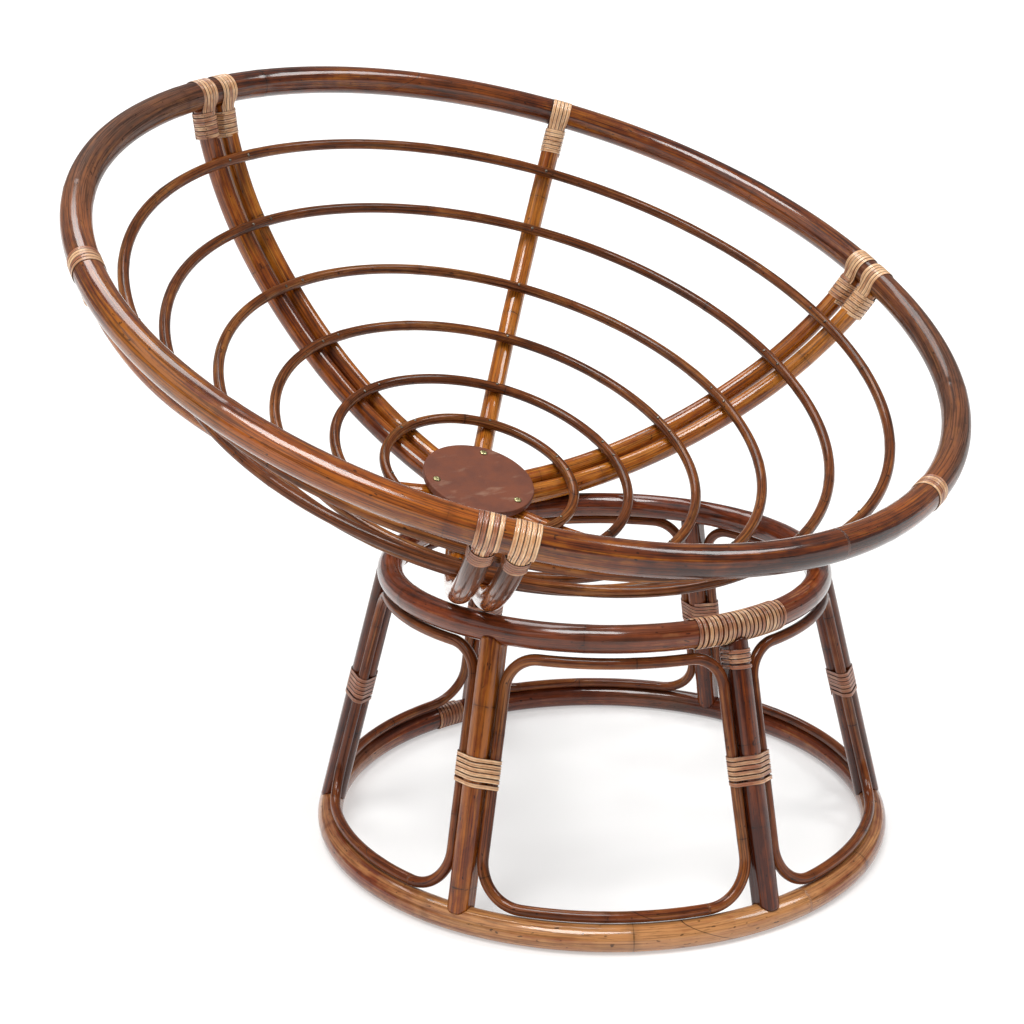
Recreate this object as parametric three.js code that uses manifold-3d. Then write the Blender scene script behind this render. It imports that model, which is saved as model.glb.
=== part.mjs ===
// Rattan bowl chair frame: a round dished bowl of bent poles that rests loosely, tilted, in the top ring
// of a six-legged round base. Units are millimetres, +Z is up and the floor is Z = 0.
// Bearings are degrees about a vertical or bowl axis, from -Y (the low side of the rim) towards +X.
// The origin is on the floor, under the middle of the rim, which is the middle of the whole chair.

import * as THREE from 'three';
import { mergeVertices } from 'three/addons/utils/BufferGeometryUtils.js';
import Module from 'manifold-3d';

const wasm = await Module();
wasm.setup();

// Clearances
const JOINT_GAP = 0.3; // between fixed pieces that touch
const SEAT_GAP = 0.5; // between the bowl's ribs and the ring that they rest in
const TURN_GAP = 0.6; // between neighbouring turns of a binding
const LAYER_GAP = 0.5; // between one layer of a binding and the next

// Poles, by diameter
const RIM_POLE = 35;
const RIB_POLE = 26;
const RING_POLE = 14;
const BASE_POLE = 31;
const LEG_POLE = 30;
const LOOP_POLE = 13;

// Bowl: the ribs' outer faces lie on a ball, and places on the bowl are worked out from that ball's centre
const RIM_DIAMETER = 1067; // outside
const BOWL_DEPTH = 322.8; // from the plane of the rim to the lowest outer face
const RIM_INSET = 12.8; // from the ball to the rim's outer face
const TILT = 23.5; // degrees, low side at -Y
const EASE_SHARE = 0.677; // of the rim's angle from the bowl's axis, where the ribs start to draw in
const RING_SHARES = [0.863, 0.728, 0.586, 0.449, 0.311, 0.2]; // of the rim's angle, rim to hub
const SINGLE_START = 18; // from the bowl's axis to the inner end of a single rib
const PAIR_START = 38;
const PAIR_SPACING_HUB = 27.4; // between the two poles of a pair
const PAIR_SPACING_RIM = 35;
const RIB_PLACES = [
  { name: 'back', bearing: 197.5, pair: true },
  { name: 'back_right', bearing: 138.8, pair: false },
  { name: 'right', bearing: 81, pair: true },
  { name: 'front_right', bearing: 20.6, pair: false },
  { name: 'front_left', bearing: 319.5, pair: true },
  { name: 'left', bearing: 256, pair: false },
];

// Hub board and its screws
const HUB_DIAMETER = 144;
const HUB_THICKNESS = 9;
const HUB_ROUNDING = 1.5;
const SCREW_CIRCLE = 118;
const SCREW_HEAD = 9.5;
const SCREW_HEAD_HEIGHT = 2.4;
const SCREW_SHANK = 4;
const SCREW_GRIP = 15; // in the rib
const SCREW_DOME_SHARES = [[1, 0.35], [0.7, 0.85]]; // of the head's radius and height

// Base
const BOTTOM_RING_DIAMETER = 697; // outside
const TOP_RING_DIAMETER = 531; // outside
const BASE_HEIGHT = 335.5;
const LEG_BEARING = -9; // degrees, the first leg
const LEG_THICKNESS = 25; // across the planed sides
const LEG_HORN = 8; // from a ring's centre to the trimmed horns of a leg's coped end
const LOOP_BOTTOM_CORNER = 50;
const LOOP_TOP_CORNER = 34;

// Bindings of split cane
const CANE_THICKNESS = 1;
const WIDE_CANE = 6; // on the splices and the legs
const NARROW_CANE = 5.2; // on the ribs' ends
const TOP_SPLICE = { bearing: -7.4, turns: 16 };
const BOTTOM_SPLICE = { bearing: 178.4, turns: 6 };
const LEG_TURNS = 5;
const LEG_LASHING_SHARE = 0.52; // of the way up the leg
const HEAD_TURNS = 3;
const SADDLE_LANES = 5;
const LANE_END_TURNS = 3.2; // how far down the rib a lane turns back, in turns of its winding
const RIB_TURNS = 4;

// Facets
const RIM_FACETS = { sides: 10, steps: 60 };
const BASE_FACETS = { sides: 10, steps: 48 };
const RING_SIDES = 6;
const RING_STEPS = [44, 40, 36, 30, 24, 20];
const RIB_FACETS = { sides: 8, steps: 10 };
const HUB_STEPS = 28;
const SCREW_FACETS = 8;
const LOOP_SIDES = 6;
const LOOP_STEPS = { bottom: 5, corner: 4, side: 3, top: 4 };
const LEG_ARC_STEPS = 4;
const TURN_STEPS = 8;
const SADDLE_STEPS = 4;

// Values that follow from the sizes
const HALF_TURN = Math.PI;
const FULL_TURN = 2 * HALF_TURN;
const QUARTER_TURN = HALF_TURN / 2;
const LEGS = 6;
const bay = FULL_TURN / LEGS;
const radians = THREE.MathUtils.degToRad;
const tilt = radians(TILT);
const widePitch = WIDE_CANE + TURN_GAP;
const narrowPitch = NARROW_CANE + TURN_GAP;

// The ball holds the rim at its inset and is as low as the bowl is deep
const rimRadius = (RIM_DIAMETER - RIM_POLE) / 2;
const rimDepth = BOWL_DEPTH - RIM_POLE / 2 - RIM_INSET;
const rimDrop = (rimRadius ** 2 - rimDepth ** 2) / (2 * rimDepth); // from the ball's centre down to the rim
const ballRadius = rimDrop + BOWL_DEPTH;
const rimDistance = Math.hypot(rimRadius, rimDrop);
const rimAngle = Math.atan2(rimRadius, rimDrop);
const ribRadius = ballRadius - RIB_POLE / 2;
const easeAngle = EASE_SHARE * rimAngle;

// A bent pole is straight between its facets' edges: how far those flats lie inside the true curve
const ringBow = (radius, steps) => radius * (1 - Math.cos(HALF_TURN / steps));
const rimBow = ringBow(rimRadius, RIM_FACETS.steps);
const ribInside = RIB_POLE / 2 + JOINT_GAP; // from a rib's centreline to what lies on its inner face

// A base ring's section has a flat side below, so its middle is a little lower than half the pole
const ringFlat = (BASE_POLE / 2) * Math.cos(HALF_TURN / BASE_FACETS.sides);
const bottomRing = { radius: (BOTTOM_RING_DIAMETER - BASE_POLE) / 2, height: ringFlat };
const topRing = { radius: (TOP_RING_DIAMETER - BASE_POLE) / 2, height: BASE_HEIGHT - ringFlat };
const ringReach = BASE_POLE / 2 + JOINT_GAP;
const baseBow = ringBow(bottomRing.radius, BASE_FACETS.steps);
const spliceInside = ringReach + baseBow / 2;
const spliceOutside = spliceInside + CANE_THICKNESS + baseBow / 2;
const spliceReach = spliceOutside / Math.cos(HALF_TURN / TURN_STEPS) + JOINT_GAP;
const underInside = ringFlat - CANE_THICKNESS - JOINT_GAP; // a binding's inner face, clear of the floor
const planedFlat = underInside - JOINT_GAP;
const seatDistance = ballRadius + SEAT_GAP + BASE_POLE / 2;
const ballHeight = topRing.height + Math.sqrt(seatDistance ** 2 - topRing.radius ** 2);
const baseMiddle = -rimDrop * Math.sin(tilt); // Y of the base's axis, with the rim's middle at zero

const legRun = bottomRing.radius - topRing.radius;
const legRise = topRing.height - bottomRing.height;
const legSlant = Math.hypot(legRun, legRise);
const legLean = Math.atan2(legRun, legRise);
const loopOffset = LEG_THICKNESS / 2 + JOINT_GAP + LOOP_POLE / 2;

// Finishes, from dark stained poles to pale cane
const FINISHES = {
  rim: { color: 0x6b3a20, roughness: 0.34, metalness: 0 },
  rib: { color: 0x83481f, roughness: 0.36, metalness: 0 },
  ring: { color: 0x7a4a30, roughness: 0.42, metalness: 0 },
  base: { color: 0x6a3b24, roughness: 0.36, metalness: 0 },
  leg: { color: 0x74431f, roughness: 0.4, metalness: 0 },
  loop: { color: 0x75462f, roughness: 0.42, metalness: 0 },
  cane: { color: 0xb98352, roughness: 0.62, metalness: 0 },
  board: { color: 0x7d4b3c, roughness: 0.7, metalness: 0 },
  brass: { color: 0xb8a457, roughness: 0.32, metalness: 1 },
};

function makeMesh(name, geometry, finish) {
  const mesh = new THREE.Mesh(geometry, new THREE.MeshStandardMaterial(FINISHES[finish]));
  mesh.name = name;
  return mesh;
}

// A closed geometry as a solid that can be cut
function toSolid(geometry) {
  const bare = geometry.clone();
  bare.deleteAttribute('normal');
  bare.deleteAttribute('uv');
  const merged = mergeVertices(bare);
  const vertProperties = merged.attributes.position.array;
  const triVerts = new Uint32Array(merged.index.array);
  return new wasm.Manifold(new wasm.Mesh({ numProp: 3, vertProperties, triVerts }));
}

function cut(geometry, tools) {
  const solid = tools.reduce((left, tool) => left.subtract(toSolid(tool)), toSolid(geometry));
  const { vertProperties, triVerts } = solid.getMesh();
  const result = new THREE.BufferGeometry();
  result.setAttribute('position', new THREE.BufferAttribute(new Float32Array(vertProperties), 3));
  return result.setIndex(new THREE.BufferAttribute(new Uint32Array(triVerts), 1));
}

// A pole bent into a ring about +Z: its section is a polygon with a corner at the angle `turn` from outward
function ringPole(centreRadius, poleRadius, facets, turn) {
  const section = [];
  for (let side = 0; side < facets.sides; side += 1) {
    const angle = turn + (side * FULL_TURN) / facets.sides;
    const reach = centreRadius + poleRadius * Math.cos(angle);
    section.push(new THREE.Vector2(reach, poleRadius * Math.sin(angle)));
  }
  section.push(section[0].clone());
  return new THREE.LatheGeometry(section, facets.steps).rotateX(QUARTER_TURN);
}

// The section turn that puts a flat side below
function flatBelow(facets) {
  return HALF_TURN / facets.sides - QUARTER_TURN;
}

// A closed skin over rows of corners; each row goes round the section once
function skin(rows, closed) {
  const sides = rows[0].length;
  const faces = [];
  const spans = closed ? rows.length : rows.length - 1;
  for (let row = 0; row < spans; row += 1) {
    const here = row * sides;
    const there = ((row + 1) % rows.length) * sides;
    for (let side = 0; side < sides; side += 1) {
      const next = (side + 1) % sides;
      faces.push(here + side, here + next, there + next, here + side, there + next, there + side);
    }
  }
  if (!closed) {
    const last = (rows.length - 1) * sides;
    for (let side = 1; side < sides - 1; side += 1) {
      faces.push(0, side + 1, side, last, last + side, last + side + 1);
    }
  }
  return new THREE.BufferGeometry().setFromPoints(rows.flat()).setIndex(faces);
}

// A frame on a pole: its origin, and unit directions across, out from the surface behind, and along the pole
function inFrame(frame, x, y, z) {
  const point = frame.origin.clone().addScaledVector(frame.across, x);
  return point.addScaledVector(frame.out, y).addScaledVector(frame.along, z);
}

// Corner where two tangent lines of an outline meet, each at its reach from the middle
function outlineCorner(angleA, reachA, angleB, reachB) {
  const spread = Math.sin(angleB - angleA);
  const x = (reachA * Math.sin(angleB) - reachB * Math.sin(angleA)) / spread;
  const y = (reachB * Math.cos(angleA) - reachA * Math.cos(angleB)) / spread;
  return new THREE.Vector2(x, y);
}

// One row of a cane strand: the ends of its inner face and of its outer face
function caneRow(inner, outer, half) {
  return [
    inner.clone().sub(half),
    inner.clone().add(half),
    outer.clone().add(half),
    outer.clone().sub(half),
  ];
}

// Turns of cane round a pole or a bundle. reach(angle, turn) is how far the bundle's outline lies from its
// middle, and frameAt(place) gives the frame at a place along it.
function turnRows({ frameAt, reach, start, pitch, turns, width, from = 0 }) {
  const step = FULL_TURN / TURN_STEPS;
  const rows = [];
  for (let index = 0; index <= turns * TURN_STEPS; index += 1) {
    const turn = index / TURN_STEPS;
    const before = from + index * step;
    const after = before + step;
    const [near, far] = [reach(before, turn), reach(after, turn)];
    const inner = outlineCorner(before, near, after, far);
    const outer = outlineCorner(before, near + CANE_THICKNESS, after, far + CANE_THICKNESS);
    const frame = frameAt(start + pitch * turn);
    const half = frame.along.clone().multiplyScalar(-width / 2);
    rows.push(caneRow(inFrame(frame, inner.x, inner.y, 0), inFrame(frame, outer.x, outer.y, 0), half));
  }
  return rows;
}

// Points on a strand's skin, each with how far along the strand it lies
function strandPoints(rows) {
  const SPAN_SHARES = [0, 1 / 3, 2 / 3];
  const points = [];
  let travelled = 0;
  for (let row = 0; row < rows.length - 1; row += 1) {
    const span = rows[row][0].distanceTo(rows[row + 1][0]);
    for (const share of SPAN_SHARES) {
      const corners = rows[row].map((corner, side) => corner.clone().lerp(rows[row + 1][side], share));
      const place = travelled + share * span;
      corners.forEach((corner, side) => {
        const next = corners[(side + 1) % corners.length];
        points.push({ at: corner, place }, { at: corner.clone().add(next).divideScalar(2), place });
      });
    }
    travelled += span;
  }
  return points;
}

// Least distance between two parts of a strand that are more than `apart` from each other along it
function leastGap(rows, apart) {
  const points = strandPoints(rows);
  let least = Infinity;
  points.forEach((first, index) => {
    for (let other = index + 1; other < points.length; other += 1) {
      if (points[other].place - first.place > apart) {
        least = Math.min(least, first.at.distanceToSquared(points[other].at));
      }
    }
  });
  return Math.sqrt(least);
}

function makeBinding(name, rows, pitch) {
  const NEIGHBOUR_PITCHES = 3;
  const gap = leastGap(rows, NEIGHBOUR_PITCHES * pitch);
  console.log(`${name}: least gap between its turns ${gap.toFixed(2)} mm`);
  return makeMesh(name, skin(rows, false), 'cane');
}

// How far a rib's centreline lies from the ball's centre, at an angle from the bowl's axis
function ribDistance(angle) {
  const share = Math.max(0, (angle - easeAngle) / (rimAngle - easeAngle));
  return THREE.MathUtils.lerp(ribRadius, rimDistance, share ** 2);
}

// Centreline of a rib in its own upright plane: X away from the bowl's axis, Y across the pair, Z up
class RibLine extends THREE.Curve {
  constructor(startRadius, hubOffset, rimOffset) {
    super();
    this.startAngle = Math.asin(startRadius / ribRadius);
    this.hubOffset = hubOffset;
    this.rimOffset = rimOffset;
  }

  getPoint(share, target = new THREE.Vector3()) {
    const angle = THREE.MathUtils.lerp(this.startAngle, rimAngle, share);
    const aside = THREE.MathUtils.lerp(this.hubOffset, this.rimOffset, share);
    const reach = Math.sqrt(ribDistance(angle) ** 2 - aside ** 2);
    return target.set(reach * Math.sin(angle), aside, -reach * Math.cos(angle));
  }
}

// Every rib with its name, its turn about the bowl's axis and its centreline
function listRibs() {
  const single = [{ mark: '', side: 0, start: SINGLE_START }];
  const pairOfPoles = [
    { mark: '_a', side: -1 / 2, start: PAIR_START },
    { mark: '_b', side: 1 / 2, start: PAIR_START },
  ];
  return RIB_PLACES.flatMap(({ name, bearing, pair }) =>
    (pair ? pairOfPoles : single).map(({ mark, side, start }) => ({
      name: `${name}${mark}`,
      turn: radians(bearing) - QUARTER_TURN,
      line: new RibLine(start, side * PAIR_SPACING_HUB, side * PAIR_SPACING_RIM),
      screwed: !pair,
    })),
  );
}

const ribs = listRibs();

// The rib whose facets come nearest to the ball's centre at an angle from the bowl's axis: how near its
// centreline comes, and its turn about the bowl's axis there
function nearestRib(angle) {
  const polar = (point) => Math.atan2(Math.hypot(point.x, point.y), -point.z);
  const places = ribs.map(({ turn, line }) => {
    const points = line.getSpacedPoints(RIB_FACETS.steps);
    const index = points.findIndex((point) => polar(point) > angle);
    const [first, last] = [points[index - 1], points[index]];
    const [past, left] = [angle - polar(first), polar(last) - angle];
    const point = first.clone().lerp(last, past / (past + left));
    const [near, far] = [first.length(), last.length()];
    const distance = (near * far * Math.sin(past + left)) / (near * Math.sin(past) + far * Math.sin(left));
    return { distance, turn: turn + Math.atan2(point.y, point.x) };
  });
  return places.reduce((nearest, place) => (place.distance < nearest.distance ? place : nearest));
}

// The hub board lies on the ribs at its lower edge
const hubEdge = HUB_DIAMETER / 2 - HUB_ROUNDING;
const hubSeat = nearestRib(Math.asin(hubEdge / (ribRadius - ribInside))).distance - ribInside;
const hubUnder = Math.sqrt(hubSeat ** 2 - hubEdge ** 2);
const hubFace = hubUnder - HUB_THICKNESS;
const screwTip = hubUnder + SCREW_GRIP;

function polygonShape(radius, sides) {
  const corners = [];
  for (let side = 0; side < sides; side += 1) {
    const angle = (side * FULL_TURN) / sides;
    corners.push(new THREE.Vector2(radius * Math.cos(angle), radius * Math.sin(angle)));
  }
  return new THREE.Shape(corners);
}

// The space of a screw's shank, under the bowl's axis by the screw circle, between two depths
function screwHole(top, bottom) {
  const radius = SCREW_SHANK / 2 + JOINT_GAP;
  const hole = new THREE.CylinderGeometry(radius, radius, bottom - top, SCREW_FACETS);
  return hole.rotateX(QUARTER_TURN).translate(SCREW_CIRCLE / 2, 0, -(top + bottom) / 2);
}

// A rib: coped to the rim at its outer end, square at its inner end, with a pilot hole where a screw holds it
function makeRib({ name, turn, line, screwed }) {
  const shape = polygonShape(RIB_POLE / 2, RIB_FACETS.sides);
  const options = { steps: RIB_FACETS.steps, extrudePath: line, bevelEnabled: false };
  const rimSpace = ringPole(rimRadius, RIM_POLE / 2 + JOINT_GAP, RIM_FACETS, flatBelow(RIM_FACETS));
  const tools = [rimSpace.translate(0, 0, -rimDrop).rotateZ(-turn)];
  if (screwed) {
    tools.push(screwHole(hubFace, screwTip + JOINT_GAP));
  }
  const mesh = makeMesh(`rib_${name}`, cut(new THREE.ExtrudeGeometry(shape, options), tools), 'rib');
  mesh.rotation.z = turn;
  return mesh;
}

// The lashing of a rib's end is one strand. It crosses over the rim lane by lane, turning back on the rib,
// then runs down the rib and winds back up round it, over its own lanes.
const rimReach = RIM_POLE / 2 + rimBow / 2 + JOINT_GAP; // from the rim's middle to the lanes on it
const lashing = {
  foot: rimReach + rimBow, // where the lanes leave the rib, below the rim's middle
  laneEnd: RIM_POLE / 2 + LANE_END_TURNS * narrowPitch,
  turnsEnd: RIM_POLE / 2 + (RIB_TURNS + 1) * narrowPitch,
  laneReach: RIB_POLE / 2 + JOINT_GAP,
};
const laneHalf = Math.atan(NARROW_CANE / 2 / lashing.laneReach);
const laneStep = 2 * laneHalf + TURN_GAP / lashing.laneReach;
const bendReach = RIB_POLE / 2 / Math.cos(laneStep / 2 + laneHalf); // so that a bend's flat clears the rib
const turnReach = Math.hypot(bendReach + CANE_THICKNESS, NARROW_CANE / 2) + LAYER_GAP;

// Frame on the last facet of a rib, at a distance below its rim end
function ribFrame(line, below) {
  const end = line.getPointAt(1);
  const along = end.clone().sub(line.getPointAt(1 - 1 / RIB_FACETS.steps)).normalize();
  const across = new THREE.Vector3(0, 1, 0).addScaledVector(along, -along.y).normalize();
  return { origin: end.addScaledVector(along, -below), across, out: across.clone().cross(along), along };
}

// Frame on the rim's centreline where a lane crosses it, an offset aside from the rib
function rimFrame(line, aside) {
  const y = line.getPoint(1).y + aside;
  const radius = rimRadius - rimBow / 2;
  const x = Math.sqrt(radius ** 2 - y ** 2);
  const across = new THREE.Vector3(-y, x, 0).divideScalar(radius);
  const along = ribFrame(line, 0).along;
  along.addScaledVector(across, -along.dot(across)).normalize();
  return { origin: new THREE.Vector3(x, y, -rimDrop), across, out: across.clone().cross(along), along };
}

// A row of the strand on the rib, at an angle round it from its outer face. `round` and `up` say how much
// of the strand's half width lies round the rib and along it.
function rowOnRib(line, below, angle, reach, round, up) {
  const frame = ribFrame(line, below);
  const [x, y] = [Math.sin(angle), Math.cos(angle)];
  const inner = inFrame(frame, reach * x, reach * y, 0);
  const outer = inFrame(frame, (reach + CANE_THICKNESS) * x, (reach + CANE_THICKNESS) * y, 0);
  const half = frame.across.clone().multiplyScalar(round * y).addScaledVector(frame.out, -round * x);
  return caneRow(inner, outer, half.addScaledVector(frame.along, up).multiplyScalar(NARROW_CANE / 2));
}

const laneOffset = (lane) => lane - (SADDLE_LANES - 1) / 2;

// Angle round the rib of a lane on the rib's outer face (side 1) or inner face (side -1)
function laneAngle(lane, side) {
  const angle = laneOffset(lane) * laneStep;
  return side > 0 ? angle : HALF_TURN - angle;
}

// Angle round the rim, from the rib's line, where a straight run from a lane's foot meets the rim
function meetingAngle(frame, footRow, side) {
  const angles = footRow.slice(0, 2).map((corner) => {
    const foot = corner.clone().sub(frame.origin);
    const [up, out] = [foot.dot(frame.along), side * foot.dot(frame.out)];
    return Math.atan2(out, up) - Math.acos(rimReach / Math.hypot(up, out));
  });
  return Math.max(...angles);
}

// One lane over the rim, from the rib's face on the side `from` to the face on its other side
function laneRows(line, lane, from) {
  const frame = rimFrame(line, laneOffset(lane) * narrowPitch);
  const feet = [from, -from].map((side) =>
    rowOnRib(line, lashing.foot, laneAngle(lane, side), lashing.laneReach, side === from ? -1 : 1, 0),
  );
  const first = meetingAngle(frame, feet[0], from);
  const last = -meetingAngle(frame, feet[1], -from);
  const step = (last - first) / SADDLE_STEPS;
  const half = frame.across.clone().multiplyScalar((-from * NARROW_CANE) / 2);
  const rows = [];
  for (let index = 0; index < SADDLE_STEPS; index += 1) {
    const before = first + index * step;
    const [inner, outer] = [rimReach, rimReach + CANE_THICKNESS].map((reach) => {
      const corner = outlineCorner(before, reach, before + step, reach);
      return inFrame(frame, 0, from * corner.y, corner.x);
    });
    rows.push(caneRow(inner, outer, half));
  }
  return [feet[0], ...rows, feet[1]];
}

// The bend on the rib from one lane to the next, on the side where the lane came down
function bendRows(line, lane, side) {
  const bend = (angle, round) => rowOnRib(line, lashing.laneEnd, angle, bendReach, round, side);
  return [bend(laneAngle(lane, side), 1), bend(laneAngle(lane + 1, side), -1)];
}

function lashingRows(line) {
  const rows = [rowOnRib(line, lashing.laneEnd, laneAngle(0, -1), lashing.laneReach, -1, 0)];
  for (let lane = 0; lane < SADDLE_LANES; lane += 1) {
    const from = lane % 2 === 0 ? -1 : 1;
    rows.push(...laneRows(line, lane, from));
    if (lane < SADDLE_LANES - 1) {
      rows.push(...bendRows(line, lane, -from));
    }
  }
  const lastAngle = laneAngle(SADDLE_LANES - 1, 1);
  rows.push(rowOnRib(line, lashing.turnsEnd, lastAngle, lashing.laneReach, 1, -1));
  const climb = 1 - 1 / TURN_STEPS; // of a turn, in which the strand rises over its own lanes
  const reach = (_, turn) => THREE.MathUtils.lerp(lashing.laneReach, turnReach, Math.min(turn / climb, 1));
  const turns = turnRows({
    frameAt: (place) => ribFrame(line, lashing.turnsEnd - place),
    reach,
    start: 0,
    pitch: narrowPitch,
    turns: RIB_TURNS,
    width: NARROW_CANE,
    from: QUARTER_TURN - lastAngle,
  });
  return [...rows, ...turns];
}

function makeRibLashing({ name, turn, line }) {
  const mesh = makeBinding(`lashing_${name}`, lashingRows(line), narrowPitch);
  mesh.rotation.z = turn;
  return mesh;
}

function makeRim() {
  const geometry = ringPole(rimRadius, RIM_POLE / 2, RIM_FACETS, flatBelow(RIM_FACETS));
  return makeMesh('rim', geometry.translate(0, 0, -rimDrop), 'rim');
}

// A slim ring inside the ribs, with a corner of its section towards them and a facet's edge on the nearest
function makeSlimRing(share, index) {
  const angle = share * rimAngle;
  const seat = nearestRib(angle);
  const distance = seat.distance - ribInside - RING_POLE / 2;
  const facets = { sides: RING_SIDES, steps: RING_STEPS[index] };
  const ring = ringPole(distance * Math.sin(angle), RING_POLE / 2, facets, angle - QUARTER_TURN);
  const mesh = makeMesh(`slim_ring_${index + 1}`, ring.translate(0, 0, -distance * Math.cos(angle)), 'ring');
  mesh.rotation.z = seat.turn + QUARTER_TURN;
  return mesh;
}

function makeHub(screwTurns) {
  const radius = HUB_DIAMETER / 2;
  const profile = [
    new THREE.Vector2(0, -hubUnder),
    new THREE.Vector2(radius - HUB_ROUNDING, -hubUnder),
    new THREE.Vector2(radius, HUB_ROUNDING - hubUnder),
    new THREE.Vector2(radius, -hubFace - HUB_ROUNDING),
    new THREE.Vector2(radius - HUB_ROUNDING, -hubFace),
    new THREE.Vector2(0, -hubFace),
  ];
  const board = new THREE.LatheGeometry(profile, HUB_STEPS).rotateX(QUARTER_TURN);
  const holes = screwTurns.map((turn) => screwHole(hubFace - JOINT_GAP, hubUnder + JOINT_GAP).rotateZ(turn));
  return makeMesh('hub_board', cut(board, holes), 'board');
}

// A screw with a low domed head that lies on the hub board
function makeScrew(turn, index) {
  const head = SCREW_HEAD / 2;
  const seat = JOINT_GAP - hubFace;
  const profile = [
    new THREE.Vector2(0, -screwTip),
    new THREE.Vector2(SCREW_SHANK / 2, -screwTip),
    new THREE.Vector2(SCREW_SHANK / 2, seat),
    new THREE.Vector2(head, seat),
    ...SCREW_DOME_SHARES.map(([out, up]) => new THREE.Vector2(head * out, seat + SCREW_HEAD_HEIGHT * up)),
    new THREE.Vector2(0, seat + SCREW_HEAD_HEIGHT),
  ];
  const screw = new THREE.LatheGeometry(profile, SCREW_FACETS).rotateX(QUARTER_TURN);
  return makeMesh(`hub_screw_${index + 1}`, screw.translate(SCREW_CIRCLE / 2, 0, 0).rotateZ(turn), 'brass');
}

function makeBowl() {
  const screwTurns = ribs.filter((rib) => rib.screwed).map((rib) => rib.turn);
  const bowl = new THREE.Group();
  bowl.add(makeRim(), makeHub(screwTurns));
  bowl.add(...ribs.map(makeRib), ...RING_SHARES.map(makeSlimRing));
  bowl.add(...screwTurns.map(makeScrew), ...ribs.map(makeRibLashing));
  bowl.position.set(0, baseMiddle, ballHeight);
  bowl.rotation.x = tilt;
  return bowl;
}

// The base's sides lie on a cone through the middles of both rings; `up` is measured along it from the bottom
// ring's middle
function conePoint(up, bearing) {
  const share = up / legSlant;
  const radius = THREE.MathUtils.lerp(bottomRing.radius, topRing.radius, share);
  const height = THREE.MathUtils.lerp(bottomRing.height, topRing.height, share);
  return new THREE.Vector3(radius * Math.sin(bearing), -radius * Math.cos(bearing), height);
}

function coneRadius(up) {
  return bottomRing.radius - (legRun * up) / legSlant;
}

function coneNormal(bearing) {
  const level = Math.cos(legLean);
  return new THREE.Vector3(level * Math.sin(bearing), -level * Math.cos(bearing), Math.sin(legLean));
}

function legFrame(bearing, up) {
  const across = new THREE.Vector3(Math.cos(bearing), Math.sin(bearing), 0);
  const out = coneNormal(bearing);
  return { origin: conePoint(up, bearing), across, out, along: out.clone().cross(across) };
}

// The wood planed off the bottom ring's underside, so that its splice's binding stays clear of the floor
function planedSpace() {
  const length = (BOTTOM_SPLICE.turns + 2) * widePitch;
  const space = new THREE.BoxGeometry(length, BASE_POLE, 2 * (ringFlat - planedFlat));
  const turn = radians(BOTTOM_SPLICE.bearing - LEG_BEARING);
  return space.translate(0, -bottomRing.radius, -ringFlat).rotateZ(turn);
}

function makeBaseRing(name, ring, tools) {
  const pole = ringPole(ring.radius, BASE_POLE / 2, BASE_FACETS, flatBelow(BASE_FACETS));
  const mesh = makeMesh(name, cut(pole, tools), 'base');
  mesh.position.z = ring.height;
  mesh.rotation.z = radians(LEG_BEARING);
  return mesh;
}

// A leg's section: round towards the outside and the inside of the base, planed flat on the other two sides
function legShape() {
  const radius = LEG_POLE / 2;
  const edge = Math.acos(LEG_THICKNESS / LEG_POLE);
  const corners = [];
  for (const start of [edge, HALF_TURN + edge]) {
    for (let index = 0; index <= LEG_ARC_STEPS; index += 1) {
      const angle = start + (index * (HALF_TURN - 2 * edge)) / LEG_ARC_STEPS;
      corners.push(new THREE.Vector2(radius * Math.cos(angle), radius * Math.sin(angle)));
    }
  }
  return new THREE.Shape(corners);
}

// A leg at bearing zero, coped over both rings; topReach is how far what it meets at the top lies from the
// top ring's middle, and topFacets are the facets of that
function legGeometry(topReach, topFacets) {
  const length = legSlant - 2 * LEG_HORN;
  const pole = new THREE.ExtrudeGeometry(legShape(), { depth: length, bevelEnabled: false });
  pole.translate(0, 0, LEG_HORN).rotateX(-legLean).translate(0, -bottomRing.radius, bottomRing.height);
  const bottomSpace = ringPole(bottomRing.radius, ringReach, BASE_FACETS, flatBelow(BASE_FACETS));
  const topSpace = ringPole(topRing.radius, topReach, topFacets, flatBelow(topFacets));
  bottomSpace.translate(0, 0, bottomRing.height);
  topSpace.translate(0, 0, topRing.height);
  return cut(pole, [bottomSpace, topSpace]);
}

function makeLegs() {
  const plain = legGeometry(ringReach, BASE_FACETS);
  const underSplice = legGeometry(spliceReach, { sides: TURN_STEPS, steps: BASE_FACETS.steps });
  return Array.from({ length: LEGS }, (_, index) => {
    const mesh = makeMesh(`leg_${index + 1}`, index === 0 ? underSplice : plain, 'leg');
    mesh.rotation.z = radians(LEG_BEARING) + index * bay;
    return mesh;
  });
}

// A point of a bay's loop: how far up the cone, how far in from the line beside the leg, and on which side
function loopPoint(up, inset, side) {
  const radius = coneRadius(up);
  const halfBay = bay / 2 - Math.asin(loopOffset / radius);
  return { up, bearing: side * (halfBay - inset / radius) };
}

// Rounded corner of a loop, from the run along a ring to the side beside a leg
function loopCorner(runUp, radius, way, side) {
  return Array.from({ length: LOOP_STEPS.corner + 1 }, (_, index) => {
    const angle = (index * QUARTER_TURN) / LOOP_STEPS.corner;
    return loopPoint(runUp + way * radius * (1 - Math.cos(angle)), radius * (1 - Math.sin(angle)), side);
  });
}

function between(first, last, steps) {
  return Array.from({ length: steps - 1 }, (_, index) => {
    const share = (index + 1) / steps;
    return {
      up: THREE.MathUtils.lerp(first.up, last.up, share),
      bearing: THREE.MathUtils.lerp(first.bearing, last.bearing, share),
    };
  });
}

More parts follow.
